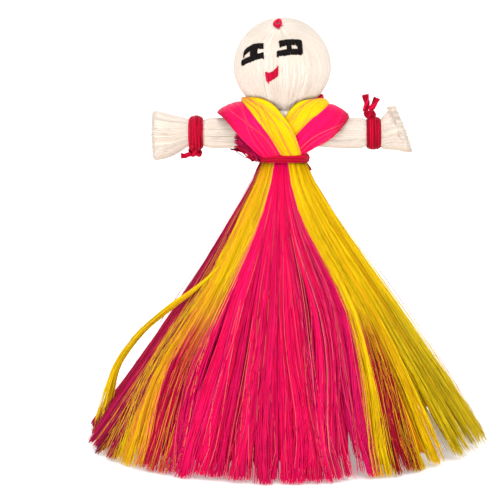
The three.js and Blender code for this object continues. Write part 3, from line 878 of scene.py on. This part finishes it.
def hanging_ends():
    """Loose ends of the sashes' fibres that hang below the -X arm, coloured wine as painted shade: they stand
    for pink fibres of the sash's back in shadow.
    """
    rng = np.random.default_rng(27)
    piece = Piece("sash_loose_ends_fibres")
    s = np.linspace(0, 1, 18)[None]
    for first_low, first_high, last_low, last_high, count in LOOSE_ENDS:
        first = rng.uniform(first_low, first_high, (count, 3))
        last = rng.uniform(last_low, last_high, (count, 3))
        paths = first[:, None] + (last - first)[:, None] * s[..., None] ** np.array([0.8, 1.2, 1.2])
        bulge = rng.uniform(-1.6, 0.6, (count, 1)) * np.sin(np.pi * s)
        paths = paths + bulge[..., None] * np.array([0.6, 0, 1])
        radii = 0.24 * rng.uniform(0.8, 1.3, (count, 1))
        # Painted shade: the loose ends take the wine that stands for the shaded pink.
        piece.tubes(rng, paths, radii, pick(rng, "wine", count, 0.15), (0, 1, 0))
    made = make_piece(piece, SILK)
    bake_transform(made)


def make_sashes():
    sash("right", ("neck", "seam"), "yellow", 21)
    sash("right", ("seam", "shoulder"), "pink", 22)
    sash("left", ("neck", "seam"), "yellow", 23)
    sash("left", ("seam", "shoulder"), "pink", 24)
    hanging_ends()


# ---- Round hanks: arms, trunk and neck ----

UPRIGHT = (0, 0, 1)
TUFTS = 60  # groups of fibres at a hand's cut end
TIP_LENGTH = 3.6
ARM_FIBRES = 2300
HAND_TIPS = 2600
BUNDLE_FIBRES = 420
THROAT_FIBRES = 520
FIBRE_RINGS = 22  # rings of points along each fibre
CORE_GRID = (96, 50)  # points round and along a core
CORE_SHORT = {True: 1.5, False: 1.1}  # how far a core ends before its fibres, with tips and without
RIM_SHARE = 0.6  # fibres that lie in the outer tenth


def cut_end(piece, rng, spots, sides, station, ends, dye, tips):
    """The cut end of a hank: tufts of fibre tips, some deeper than others."""
    finish, radius = station
    tufts = rng.uniform(-1, 1, (TUFTS, 2))
    turn = rng.uniform(0, 2 * np.pi, tips)
    out = 0.93 * np.sqrt(rng.random(tips))
    spot = np.stack([np.cos(turn), np.sin(turn)], -1) * out[:, None]
    tuft = np.argmin(((spot[:, None] - tufts) ** 2).sum(-1), axis=1)
    direction = spot @ np.stack(sides) / out[:, None]
    deep = rng.exponential(0.25, tips) + rng.uniform(0, 1.0, TUFTS)[tuft]
    last = finish + ends(direction * out[:, None]) + 0.2 - deep
    reach = last[:, None] - TIP_LENGTH * np.array([1, 0.5, 0])
    paths = spots(reach, direction[:, None], (out * radius)[:, None, None])
    # Painted shade: tips that end deeper in the cut end are darker.
    tint = pick(rng, dye, tips, 0.03) * (rng.uniform(0.96, 1.1, TUFTS)[tuft] - 0.06 * deep)[:, None]
    piece.tubes(rng, paths, rng.uniform(0.2, 0.33, (tips, 1)), tint, direction[:, None])


def hank(piece, rng, axis, profile, count, dye, towards, ends=None, shift=None, half=None, tips=0):
    """Fibres along an axis from its first to its last profile station (distance, radius),
    over a ridged core. ends(direction) says how far fibres go past or short of the end,
    shift(reach) how far the hank's middle is off its axis in the towards direction, half the
    angles, in radians, that the fibres keep to, and tips how many fibre ends show at the end."""
    axis = np.asarray(axis, float)
    side = np.asarray(towards, float)
    third = np.cross(axis, side)
    ends = ends or (lambda direction: 0 * direction[..., 2])
    shift = shift or (lambda reach: 0 * reach)
    begin, finish = profile[0][0], profile[-1][0]
    fine = curve(profile, np.linspace(0, 1, 60))

    def spots(reach, direction, wide):
        return reach[..., None] * axis + direction * wide + shift(reach)[..., None] * side

    turn = rng.uniform(*(half or (0, 2 * np.pi)), count)
    out = np.where(rng.random(count) < RIM_SHARE, rng.uniform(0.9, 1.0, count), np.sqrt(rng.random(count)))
    direction = circle(turn, side, third)
    last = finish + ends(direction * out[:, None]) + rng.normal(0, 0.45, count) - 1.5 * out**14
    s = np.linspace(0, 1, FIBRE_RINGS)[None]
    reach = begin + (last[:, None] - begin) * s
    radius = np.interp(reach, fine[:, 0], fine[:, 1])
    spin = turn[:, None] + 0.05 * rng.normal(0, 1, (count, 1)) * waves(rng, count, s, 0.5, 1.2) * s
    ring = circle(spin, side, third)
    paths = spots(reach, ring, (out[:, None] * radius - 0.12)[..., None])
    tint = pick(rng, dye, count, 0.02)
    # Painted shade: fibres deeper in the hank are mixed towards the under shade.
    tint = mixed(tint, UNDER_SHADE[dye], (0.35 * (1 - out) * (out < 0.9))[:, None])
    piece.tubes(rng, paths, 0.16 * rng.uniform(0.8, 1.5, (count, 1)), tint, ring)

    sides, rings = CORE_GRID
    s = np.linspace(0, 1, rings)[:, None]
    turn = 2 * np.pi * np.arange(sides) / sides
    direction = circle(turn, side, third)
    first = begin + 0.5
    reach = first + (finish - CORE_SHORT[tips > 0] + ends(direction) - first) * s
    radius = np.interp(reach, fine[:, 0], fine[:, 1]) - 0.28 - 0.12 * rng.random(sides)
    index = np.arange(rings * sides).reshape(rings, sides)
    a, b = index[:-1], index[1:]
    walls = np.stack([a, np.roll(a, -1, 1), np.roll(b, -1, 1), b], -1).reshape(-1, 4)
    caps = [index[0][None, ::-1], index[-1][None, :]]
    grains = np.stack([np.broadcast_to(turn * 40, reach.shape), reach, 0 * reach], -1)
    # Painted shade: the core under the fibres is mixed towards the under shade.
    tint = mixed(DYES[dye][0], UNDER_SHADE[dye], 0.15)
    piece.add(spots(reach, direction, radius[..., None]), [walls, *caps], tint, grains)
    if tips:
        cut_end(piece, rng, spots, (side, third), profile[-1], ends, dye, tips)


ARM_PROFILES = {
    "right": [
        (20, 7.6), (28, 8.4), (36, 8.7), (42, 8.8), (46, 8.4), (48.6, 7), (52, 6.7), (55, 7.2), (58.5, 10.2),
        (62, 11.9), (66, 12.9), (70, 13.8), (75, 14.4),
    ],
    "left": [
        (20, 7.6), (28, 8.4), (36, 8.6), (41, 8.6), (44, 8.2), (46.4, 7), (50, 6.8), (54, 7.6), (58, 9.6),
        (63, 11.6), (68, 13.2), (71, 13.9), (74.6, 14.4),
    ],
}
HAND_SLANT = {"right": (-5.4, -5.8), "left": (0.2, 0.2)}  # how ends move with height, and altogether
HAND_SHIFT = {"right": 3.0, "left": -1.6}  # how far the hand's middle stands above the arm's


def arm(side, seed):
    rng = np.random.default_rng(seed)
    sign = -1 if side == "left" else 1
    piece = Piece(side + "_arm_fibres")
    slant, back = HAND_SLANT[side]
    rise = HAND_SHIFT[side]
    hank(
        piece, rng, (sign, 0, 0), ARM_PROFILES[side], ARM_FIBRES, "cream", UPRIGHT,
        lambda direction: slant * direction[..., 2] + back, lambda reach: rise * smooth((reach - 55) / 10),
        tips=HAND_TIPS,
    )
    piece.points = [points + np.array([0, 0, SHOULDER[2]]) for points in piece.points]
    made = make_piece(piece, CREAM, side + "_arm_hank")
    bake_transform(made)


def arm_bundle():
    """The arms' hank where it runs through the trunk, under the sashes."""
    rng = np.random.default_rng(53)
    piece = Piece("arm_bundle_fibres")
    profile = [(-27, 7.2), (-20, 7.4), (0, 7.4), (20, 7.4), (28, 7.2)]
    hank(piece, rng, (1, 0, 0), profile, BUNDLE_FIBRES, "cream", UPRIGHT)
    piece.points = [points + np.array([0, 0, SHOULDER[2]]) for points in piece.points]
    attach(make_piece(piece, CREAM, "arm_bundle_core"), "torso")


def throat():
    """The neck's front, which fills the V between the sashes under the chin; its lightened cream is painted
    light against the chin's shade.
    """
    rng = np.random.default_rng(33)
    piece = Piece("throat_fibres")
    profile = [(173, 10.8), (180, 13.4), (185, 15.6), (189.5, 16.8), (193.4, 16.6)]
    hank(piece, rng, UPRIGHT, profile, THROAT_FIBRES, "pale", (0, -1, 0), half=(-1.9, 1.9))
    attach(make_piece(piece, CREAM), "torso")


def trunk():
    """The front and back hanks of the trunk, whose tops are the bound neck."""
    profile = [(163.5, 8.6), (169, 9.0), (174, 9.6), (179, 10.2), (183, 9.6), (185, 8), (188.4, 7.6)]
    for side, towards, seed in (("front", -1, 31), ("back", 1, 32)):
        rng = np.random.default_rng(seed)
        piece = Piece("trunk_" + side + "_fibres")
        half = (-np.pi / 2, np.pi / 2)
        hank(piece, rng, UPRIGHT, profile, BUNDLE_FIBRES, "cream", (0, towards, 0), half=half)
        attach(make_piece(piece, CREAM, "trunk_" + side + "_hank"), "torso")


# ---- Head ----

LOOP_FORWARD = 9.0  # degrees that the crown's loop has slipped towards the face
NECK_OPENING = -63.0  # degrees below the equator where the cover ends
FACE_TILT = (-10.4, -11.0, -13.4)  # how the face nods, rolls and turns
COVER_GRID = (220, 90)  # points round the cover and from its crown to its neck
COVER_FIBRES = 1700
LOOP_TURNS = 11  # threads laid round the crown's loop
LOOP_FRAYS = 34
LOOP_STRETCH = 1.75  # how much longer the loop is than it is wide


def rotation(axis, degrees):
    """A turn about the X, Y or Z axis as a 3 x 3 array."""
    c, s = math.cos(math.radians(degrees)), math.sin(math.radians(degrees))
    i, j = {"X": (1, 2), "Y": (2, 0), "Z": (0, 1)}[axis]
    matrix = np.eye(3)
    matrix[i, i] = matrix[j, j] = c
    matrix[i, j], matrix[j, i] = -s, s
    return matrix


def rotation_about(axis, degrees):
    """A turn about any unit axis, as a 3 x 3 array."""
    a = math.radians(degrees)
    cross = np.cross(np.eye(3), axis)
    return np.eye(3) + math.sin(a) * cross + (1 - math.cos(a)) * cross @ cross


KNOT = node_box("crown_knot")[2] - HEAD
KNOT_SIDE = unit(np.cross(KNOT, (0, -1, 0)))
LOOP_SPOT = rotation_about(KNOT_SIDE, LOOP_FORWARD) @ KNOT - np.array([0.5, 0, 0])
LOOP_UP = unit(LOOP_SPOT)
CROWN_LEAN = math.degrees(math.acos(LOOP_UP[2]))  # the crown of the fibres is under the loop
CROWN_TURN = math.degrees(math.atan2(LOOP_UP[0], -LOOP_UP[1]))


def head_points(direction, lift):
    """Points of the head along unit directions from its middle, lifted off its surface."""
    rise = direction[..., 2]
    narrow = np.where(rise < 0, 1 - CHIN_TAPER * rise**2, 1)
    points = direction * HEAD_RADIUS
    points = np.concatenate([points[..., :2] * narrow[..., None], points[..., 2:]], -1)
    return HEAD + (points + direction * lift[..., None]) * HEAD_STRETCH


def crown_direction(azimuth, polar):
    """Directions at an azimuth and an angle from the crown, both in degrees: the fibres
    run from a crown that leans forward to a neck that points straight down."""
    lean = np.radians(CROWN_LEAN * (1 - smooth(polar / 105)))
    a, p = np.radians(azimuth), np.radians(polar)
    x, y, z = np.sin(p) * np.sin(a), -np.sin(p) * np.cos(a), np.cos(p)
    t = math.radians(CROWN_TURN)
    ahead, beside = x * math.sin(t) - y * math.cos(t), x * math.cos(t) + y * math.sin(t)
    ahead, z = ahead * np.cos(lean) + z * np.sin(lean), z * np.cos(lean) - ahead * np.sin(lean)
    x = ahead * math.sin(t) + beside * math.cos(t)
    y = -ahead * math.cos(t) + beside * math.sin(t)
    return np.stack([x, y, z], -1)


def head_relief(azimuth, polar):
    """Soft creases of the cover: gathers towards the neck and a fold round the crown."""
    a = np.radians(azimuth)
    gather = smooth((polar - 95) / 55)
    folds = 0.28 * np.sin(7 * a + 1.1) + 0.2 * np.sin(13 * a + 0.4) + 0.12 * np.sin(23 * a)
    fine = 0.05 * np.sin(31 * a + 2) + 0.04 * np.sin(47 * a + 1)
    fold = -0.25 * bell(polar - 22 - 4 * np.sin(a + 0.6), 5.5)
    return folds * gather + fine + fold


def crown_fold_shade(polar):
    """Painted shade of the fold round the crown: the cover is darker just past it."""
    return 1 - 0.055 * smooth((polar - 8) / 18) * (1 - smooth((polar - 28) / 26))


def head_cover():
    rng = np.random.default_rng(41)
    piece = Piece("head_cover_fibres")
    last = 90 - NECK_OPENING
    sides, rings = COVER_GRID
    polar = np.linspace(0.6, last, rings)[:, None] * np.ones((1, sides))
    azimuth = 360 * np.arange(sides) / sides * np.ones((rings, 1))
    grid = head_points(crown_direction(azimuth, polar), head_relief(azimuth, polar) - 0.12)
    index = np.arange(rings * sides).reshape(rings, sides)
    a, b = index[:-1], index[1:]
    walls = np.stack([a, b, np.roll(b, -1, 1), np.roll(a, -1, 1)], -1).reshape(-1, 4)
    caps = [index[0][None, :], index[-1][None, ::-1]]
    # Painted shade: the cover's colour darkens just past the fold round the crown.
    tint = DYES["cream"][0] * (crown_fold_shade(polar) + 0.03 * np.sin(np.radians(azimuth) * 5))[..., None]
    grains = np.stack([azimuth * 0.9, polar * 0.5, 0 * polar], -1)
    piece.add(grid, [walls, *caps], tint, grains)

    count = COVER_FIBRES
    azimuth = rng.uniform(0, 360, (count, 1))
    s = np.linspace(0, 1, 30)[None]
    first, end = 1.5 + 58.5 * rng.random((count, 1)) ** 2.2, rng.uniform(last - 40, last + 1, (count, 1))
    polar = first + (end - first) * s
    drift = 1.6 * rng.normal(0, 1, (count, 1)) * np.sin(np.pi * (s + rng.random((count, 1))))
    spread = azimuth + drift
    lift = head_relief(spread, polar) - 0.12 + rng.uniform(-0.05, 0.1, (count, 1)) - 0.35 * (2 * s - 1) ** 8
    direction = crown_direction(spread, polar)
    tints = pick(rng, "cream", count, 0.02)[:, None] * crown_fold_shade(polar)[..., None]
    radii = rng.uniform(0.12, 0.2, (count, 1))
    piece.tubes(rng, head_points(direction, lift), radii, tints, direction)
    made = make_piece(piece, CREAM, "head_cover")
    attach(made, "head")


STITCH_BARS = {  # corners on the face as (across, up) in degrees, from the lower left one
    # clockwise, and how far the lower and the upper edge arch up
    "left_eye_upper_lid": ([(-37.8, 14.2), (-36.4, 20.6), (-7.2, 22.4), (-7.2, 17.2)], (2.8, 3.0)),
    "left_eye_lower_lid": ([(-40.8, 3.8), (-40.4, 9.2), (-7.2, 11.4), (-7.2, 6.2)], (0.6, 0.6)),
    "left_eye_pupil": ([(-25.4, 11), (-25.4, 18.6), (-15.8, 19.6), (-15.8, 12.2)], (0, 0)),
    "right_eye_upper_lid": ([(12.6, 14.9), (12.9, 22.3), (41, 20.3), (39.8, 12.8)], (2.2, 1.2)),
    "right_eye_lower_lid": ([(8.3, 5.2), (9, 10), (37.8, 8.8), (37, 3.6)], (0.4, 0.8)),
    "right_eye_pupil": ([(20.4, 9.6), (21.4, 17.7), (26.8, 17.5), (26, 9.4)], (0, 0)),
    "right_eye_corner": ([(33.8, 8), (34.4, 16.6), (39.8, 16.2), (38.2, 7.6)], (0, 0)),
    "mouth_stitches": ([(-9.4, -21.4), (-8.9, -10.6), (7.8, -6.4), (6.2, -15.8)], (-1.4, -3.6)),
}
THREAD_RADIUS = 0.33
THREAD_SPACING = 0.36
BAR_MARGIN = 0.7  # degrees that stitches run past a bar at both ends


def stitches(node, corners, arches, seed):
    """Satin stitches side by side across a bar, each one thread that dips in at both ends."""
    rng = np.random.default_rng(seed)
    lower_left, upper_left, upper_right, lower_right = np.asarray(corners, float)
    width = np.linalg.norm(upper_right - upper_left) * math.radians(HEAD_RADIUS)
    count = max(5, round(width / THREAD_SPACING))
    u = (np.arange(count) + 0.5) / count
    low = mixed(lower_left, lower_right, u[:, None])
    high = mixed(upper_left, upper_right, u[:, None])
    ragged = np.where((np.arange(count) < 2) | (np.arange(count) > count - 3), 1.4, 0.45)
    aside, past = 0.3 * rng.normal(0, 1, count), np.abs(rng.normal(0, 1, count)) * ragged
    low = low - np.stack([aside, past + BAR_MARGIN], -1)
    aside, past = 0.3 * rng.normal(0, 1, count), np.abs(rng.normal(0, 0.5, count)) * 0.5
    high = high + np.stack([aside, past + BAR_MARGIN], -1)
    s = np.linspace(0, 1, 9)[None, :, None]
    spot = mixed(low[:, None], high[:, None], s)
    spot[..., 1] += (4 * u * (1 - u))[:, None] * mixed(*arches, s[..., 0])
    lift = 0.75 * np.sin(np.pi * s[..., 0]) ** 0.5 - 0.25 + rng.uniform(-0.08, 0.08, (count, 1))
    a, b = np.radians(spot[..., 0]), np.radians(spot[..., 1])
    direction = np.stack([np.cos(b) * np.sin(a), -np.cos(b) * np.cos(a), np.sin(b)], -1)
    nod, roll, turn = FACE_TILT
    face = rotation("Z", turn) @ rotation("X", nod) @ rotation("Y", roll)
    direction = direction @ face.T
    paths = HEAD + direction * (HEAD_RADIUS + lift[..., None]) * HEAD_STRETCH
    dye = "crimson" if "mouth" in node else "black"
    radii = THREAD_RADIUS * np.array([[0.5, 1, 1, 1, 1, 1, 1, 1, 0.5]])
    piece = Piece(node + "_threads")
    piece.tubes(rng, paths, radii, pick(rng, dye, count, 0.12), direction, 5)
    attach(make_piece(piece, YARN, node), "head")


def crown_loop():
    """A small ragged loop of crimson thread, laid round and round on the crown."""
    rng = np.random.default_rng(61)
    spot = HEAD + LOOP_SPOT
    up = LOOP_UP
    side = unit(np.cross(up, (0, -1, 0)))
    ahead = unit(np.cross(up, side))
    count = LOOP_TURNS
    t = np.linspace(0, 2 * np.pi * 1.04, 60)[None] + rng.uniform(0, 6, (count, 1))
    radius = 1.5 + 0.5 * rng.normal(0, 0.6, (count, 1)) + 0.16 * np.sin(3 * t + rng.uniform(0, 6, (count, 1)))
    height = 0.45 * np.sin(t + rng.uniform(0, 6, (count, 1))) - 0.5 + rng.uniform(-0.2, 0.5, (count, 1))
    paths = (
        spot
        + (radius * np.cos(t))[..., None] * side
        + (radius * LOOP_STRETCH * np.sin(t))[..., None] * ahead
        + height[..., None] * up
    )
    piece = Piece("crown_loop_threads")
    piece.tubes(rng, paths, np.full((1, 1), 0.28), pick(rng, "crimson", count, 0.15), up, 6)

    # Frayed ends lie round the loop, on the head.
    count = LOOP_FRAYS
    turn = rng.uniform(0, 2 * np.pi, count)
    out = np.cos(turn)[:, None] * side + 1.7 * np.sin(turn)[:, None] * ahead
    far = rng.uniform(1.9, 3.1, (count, 1))
    s = np.linspace(0, 1, 8)[None, :, None]
    spots = spot - HEAD + out[:, None] * mixed(1.0, far[:, None], s)
    spots = HEAD + unit(spots) * (HEAD_RADIUS + 0.35 * (1 - s) + 0.1)
    shades = mixed(pick(rng, "crimson", count, 0.1), pick(rng, "cream", count), 0.35)
    piece.tubes(rng, spots, np.full((1, 1), 0.16), shades, up, 4)
    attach(make_piece(piece, YARN, "crown_knot"), "head")


# ---- Bindings of crimson yarn ----

BAND_RINGS = 72
KNOT_YARN = (0.95, 18, 3.0)  # radius, filaments and turns of twist
CORD_FILAMENTS = 34
CORD_FRAY = 0.25  # how much wider a cord is at its frayed end


def band(piece, rng, middle, axis, side, inner, outer, half_width, count, sag):
    """Filaments wound side by side round an axis; sag lowers the band on both sides."""
    axis, side = np.asarray(axis, float), np.asarray(side, float)
    third = np.cross(axis, side)
    t = np.linspace(0, 2 * np.pi * 1.02, BAND_RINGS)[None] + rng.uniform(0, 2 * np.pi, (count, 1))
    spot = (np.arange(count) + 0.5) / count * 2 - 1
    drift = 0.07 * rng.normal(0, 1, (count, 1)) * np.sin(t + rng.uniform(0, 6, (count, 1)))
    spot = np.clip(spot[:, None] + drift, -1, 1)
    radius = inner + (outer - inner) * np.sqrt(1 - 0.9 * spot**2) + rng.uniform(-0.2, 0.06, (count, 1))
    along = half_width * spot - sag * np.cos(t) ** 2
    paths = middle + circle(t, side, third, radius) + along[..., None] * axis
    tint = pick(rng, "cord", count, 0.1)
    piece.tubes(rng, paths, rng.uniform(0.2, 0.3, (count, 1)), tint, circle(t, side, third), 4)


def strand_bundle(piece, rng, path, radius, count, twist=0.5, fray=0.0):
    """Filaments twisted along one path; fray spreads them at its far end."""
    first, second = frames(path)
    out = radius * np.sqrt((np.arange(count) + 0.4) / count)
    s = np.linspace(0, 1, len(path))[None]
    turn = 2.4 * np.arange(count)[:, None] + twist * 2 * np.pi * s
    wide = out[:, None] * (1 + fray * smooth((s - 0.75) / 0.25)) * (1 + 0.08 * rng.normal(0, 1, (count, 1)))
    paths = path + circle(turn, first, second, wide)
    radii = 0.27 * rng.uniform(0.8, 1.3, (count, 1))
    piece.tubes(rng, paths, radii, pick(rng, "cord", count, 0.1), first, 4)


def ends_of(node, count=5):
    """Stations along a short cord's solid, from its end nearer the doll's axis."""
    points = node_points(node)
    middle = points.mean(0)
    run = np.linalg.svd(points - middle)[2][0]
    reach = (points - middle) @ run
    cuts = np.quantile(reach, np.linspace(0, 1, count + 1))
    cuts[-1] += 1e-6
    rows = [points[(reach >= a) & (reach <= b)].mean(0) for a, b in zip(cuts, cuts[1:])]
    rows[0] = points[reach <= reach.min() + 0.05].mean(0)
    rows[-1] = points[reach >= reach.max() - 0.05].mean(0)
    return np.array(rows)


BINDINGS = {  # what each rides on, its inner and outer radius, half width, filaments and sag
    "waist_binding": ("waist", 13.8, 15.3, 2.15, 22, 1.4),
    "neck_binding": ("torso", 8.0, 9.8, 1.5, 14, 0),
    "right_wrist_binding": ("right_arm", 7.4, 9.4, 4.0, 34, 0),
    "left_wrist_binding": ("left_arm", 7.4, 10.0, 4.0, 34, 0),
}
LAYERS = [(0, 0, 1), (-0.2, -0.35, 0.96), (-0.3, -0.8, 0.9)]  # changes to both radii, share of the width
WAIST_RISE = 2.5  # how far the waist's yarn stands above its solid's middle
KNOTS = {  # what each rides on, and its size
    "right_wrist_knot": ("right_arm", (6.6, 5.4, 4.6)),
    "left_wrist_knot": ("left_arm", (7.4, 6, 5.4)),
    "waist_knot": ("waist", (6.4, 5.2, 5.4)),
    "neck_knot": ("torso", (3.4, 3.4, 3.4)),
}
CORD_ENDS = {  # what each rides on, its radius, whether it hangs, and how much of it shows
    "waist_cord_end_left": ("waist", 0.9, True, 1),
    "waist_cord_end_right": ("waist", 0.9, True, 1),
    "neck_cord_end": ("torso", 1.2, False, 0.84),
    "right_wrist_cord_end_outer": ("right_arm", 1.5, False, 1),
    "right_wrist_cord_end_inner": ("right_arm", 1.5, False, 1),
    "left_wrist_cord_end": ("left_arm", 1.2, True, 1),
}


def binding(node, seed):
    """A band of yarn, wound in layers over its solid."""
    rng = np.random.default_rng(seed)
    body, inner, outer, half_width, count, sag = BINDINGS[node]
    middle = node_box(node)[2] + np.array([0, 0, WAIST_RISE if body == "waist" else 0])
    x_axis, _, z_axis = np.eye(3)
    axis, side = (x_axis, z_axis) if "wrist" in node else (z_axis, x_axis)
    piece = Piece(node + "_yarn")
    for deeper, lower, share in LAYERS:
        band(piece, rng, middle, axis, side, inner + deeper, outer + lower, half_width * share, count, sag)
    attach(make_piece(piece, YARN, node), body)


def knot(node, seed):
    """A flattened overhand knot of filaments."""
    rng = np.random.default_rng(seed)
    body, size = KNOTS[node]
    t = np.linspace(0, 2 * np.pi, 90)
    shape = [np.sin(t) + 2 * np.sin(2 * t), np.cos(t) - 2 * np.cos(2 * t), -1.6 * np.sin(3 * t)]
    shape = np.stack(shape, -1)
    shape = shape / np.abs(shape).max(0) * (np.asarray(size) / 2 - 0.75)
    piece = Piece(node + "_yarn")
    strand_bundle(piece, rng, node_box(node)[2] + shape, *KNOT_YARN)
    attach(make_piece(piece, YARN, node), body)


def cord_end(node, seed):
    """A short frayed end of the binding yarn, from its knot."""
    rng = np.random.default_rng(seed)
    body, radius, hangs, reach = CORD_ENDS[node]
    stations = ends_of(node)
    far_first = (stations[0][2] < stations[-1][2]) == hangs
    stations = stations[::-1] if far_first else stations
    piece = Piece(node + "_yarn")
    path = curve(stations, np.linspace(0, reach, 22))
    strand_bundle(piece, rng, path, radius, CORD_FILAMENTS, fray=CORD_FRAY)
    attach(make_piece(piece, YARN, node), body)


# ---- Inner solids that keep their shape ----

def dress_cores():
    cream = core_material("inner_cream", DYES["cream"][0], ALONG_X, SOFT)
    upright = core_material("inner_upright", DYES["cream"][1], ALONG_Z, SOFT)
    wadding = core_material("stuffing", DYES["cream"][2], NO_GRAIN, SOFT)
    wine = core_material("inner_wine", DYES["wine"][0], ALONG_Z_DYED, SILKY)
    pink = core_material("inner_pink", DYES["pink"][1], ALONG_Z_DYED, SILKY)
    looks = {
        "right_shoulder_root": cream, "left_shoulder_root": cream,
        "neck_lower_hank": upright, "neck_upper_hank": upright, "head_stuffing_ball": wadding,
        "skirt_core_hank": wine, "waist_core_hank": pink,
    }
    for node, material in looks.items():
        solid = frame["nodes"][node]
        if not solid.material_slots:
            solid.data.materials.append(material)
        for place in solid.material_slots:
            place.material = material


SKIRT_SEED = 100  # each kind of piece draws from its own run of seeds
STITCH_SEED = 200
BINDING_SEED = 71
KNOT_SEED = 75
CORD_SEED = 80

make_camera()
make_studio()
SILK = fibre_material("dyed_fibre", SILKY)
CREAM = fibre_material("cream_fibre", SOFT)
YARN = fibre_material("crimson_yarn", THREAD)

for number, skirt_node in enumerate(SKIRT_ZONES):
    skirt_hank(skirt_node, SKIRT_SEED + number)
loose_lock()
make_sashes()
trunk()
throat()
arm("right", 51)
arm("left", 52)
arm_bundle()
head_cover()
for number, (bar_node, (bar_corners, bar_arches)) in enumerate(STITCH_BARS.items()):
    stitches(bar_node, bar_corners, bar_arches, STITCH_SEED + number)
crown_loop()
for number, bound_node in enumerate(BINDINGS):
    binding(bound_node, BINDING_SEED + number)
for number, knot_node in enumerate(KNOTS):
    knot(knot_node, KNOT_SEED + number)
for number, end_node in enumerate(CORD_ENDS):
    cord_end(end_node, CORD_SEED + number)
dress_cores()
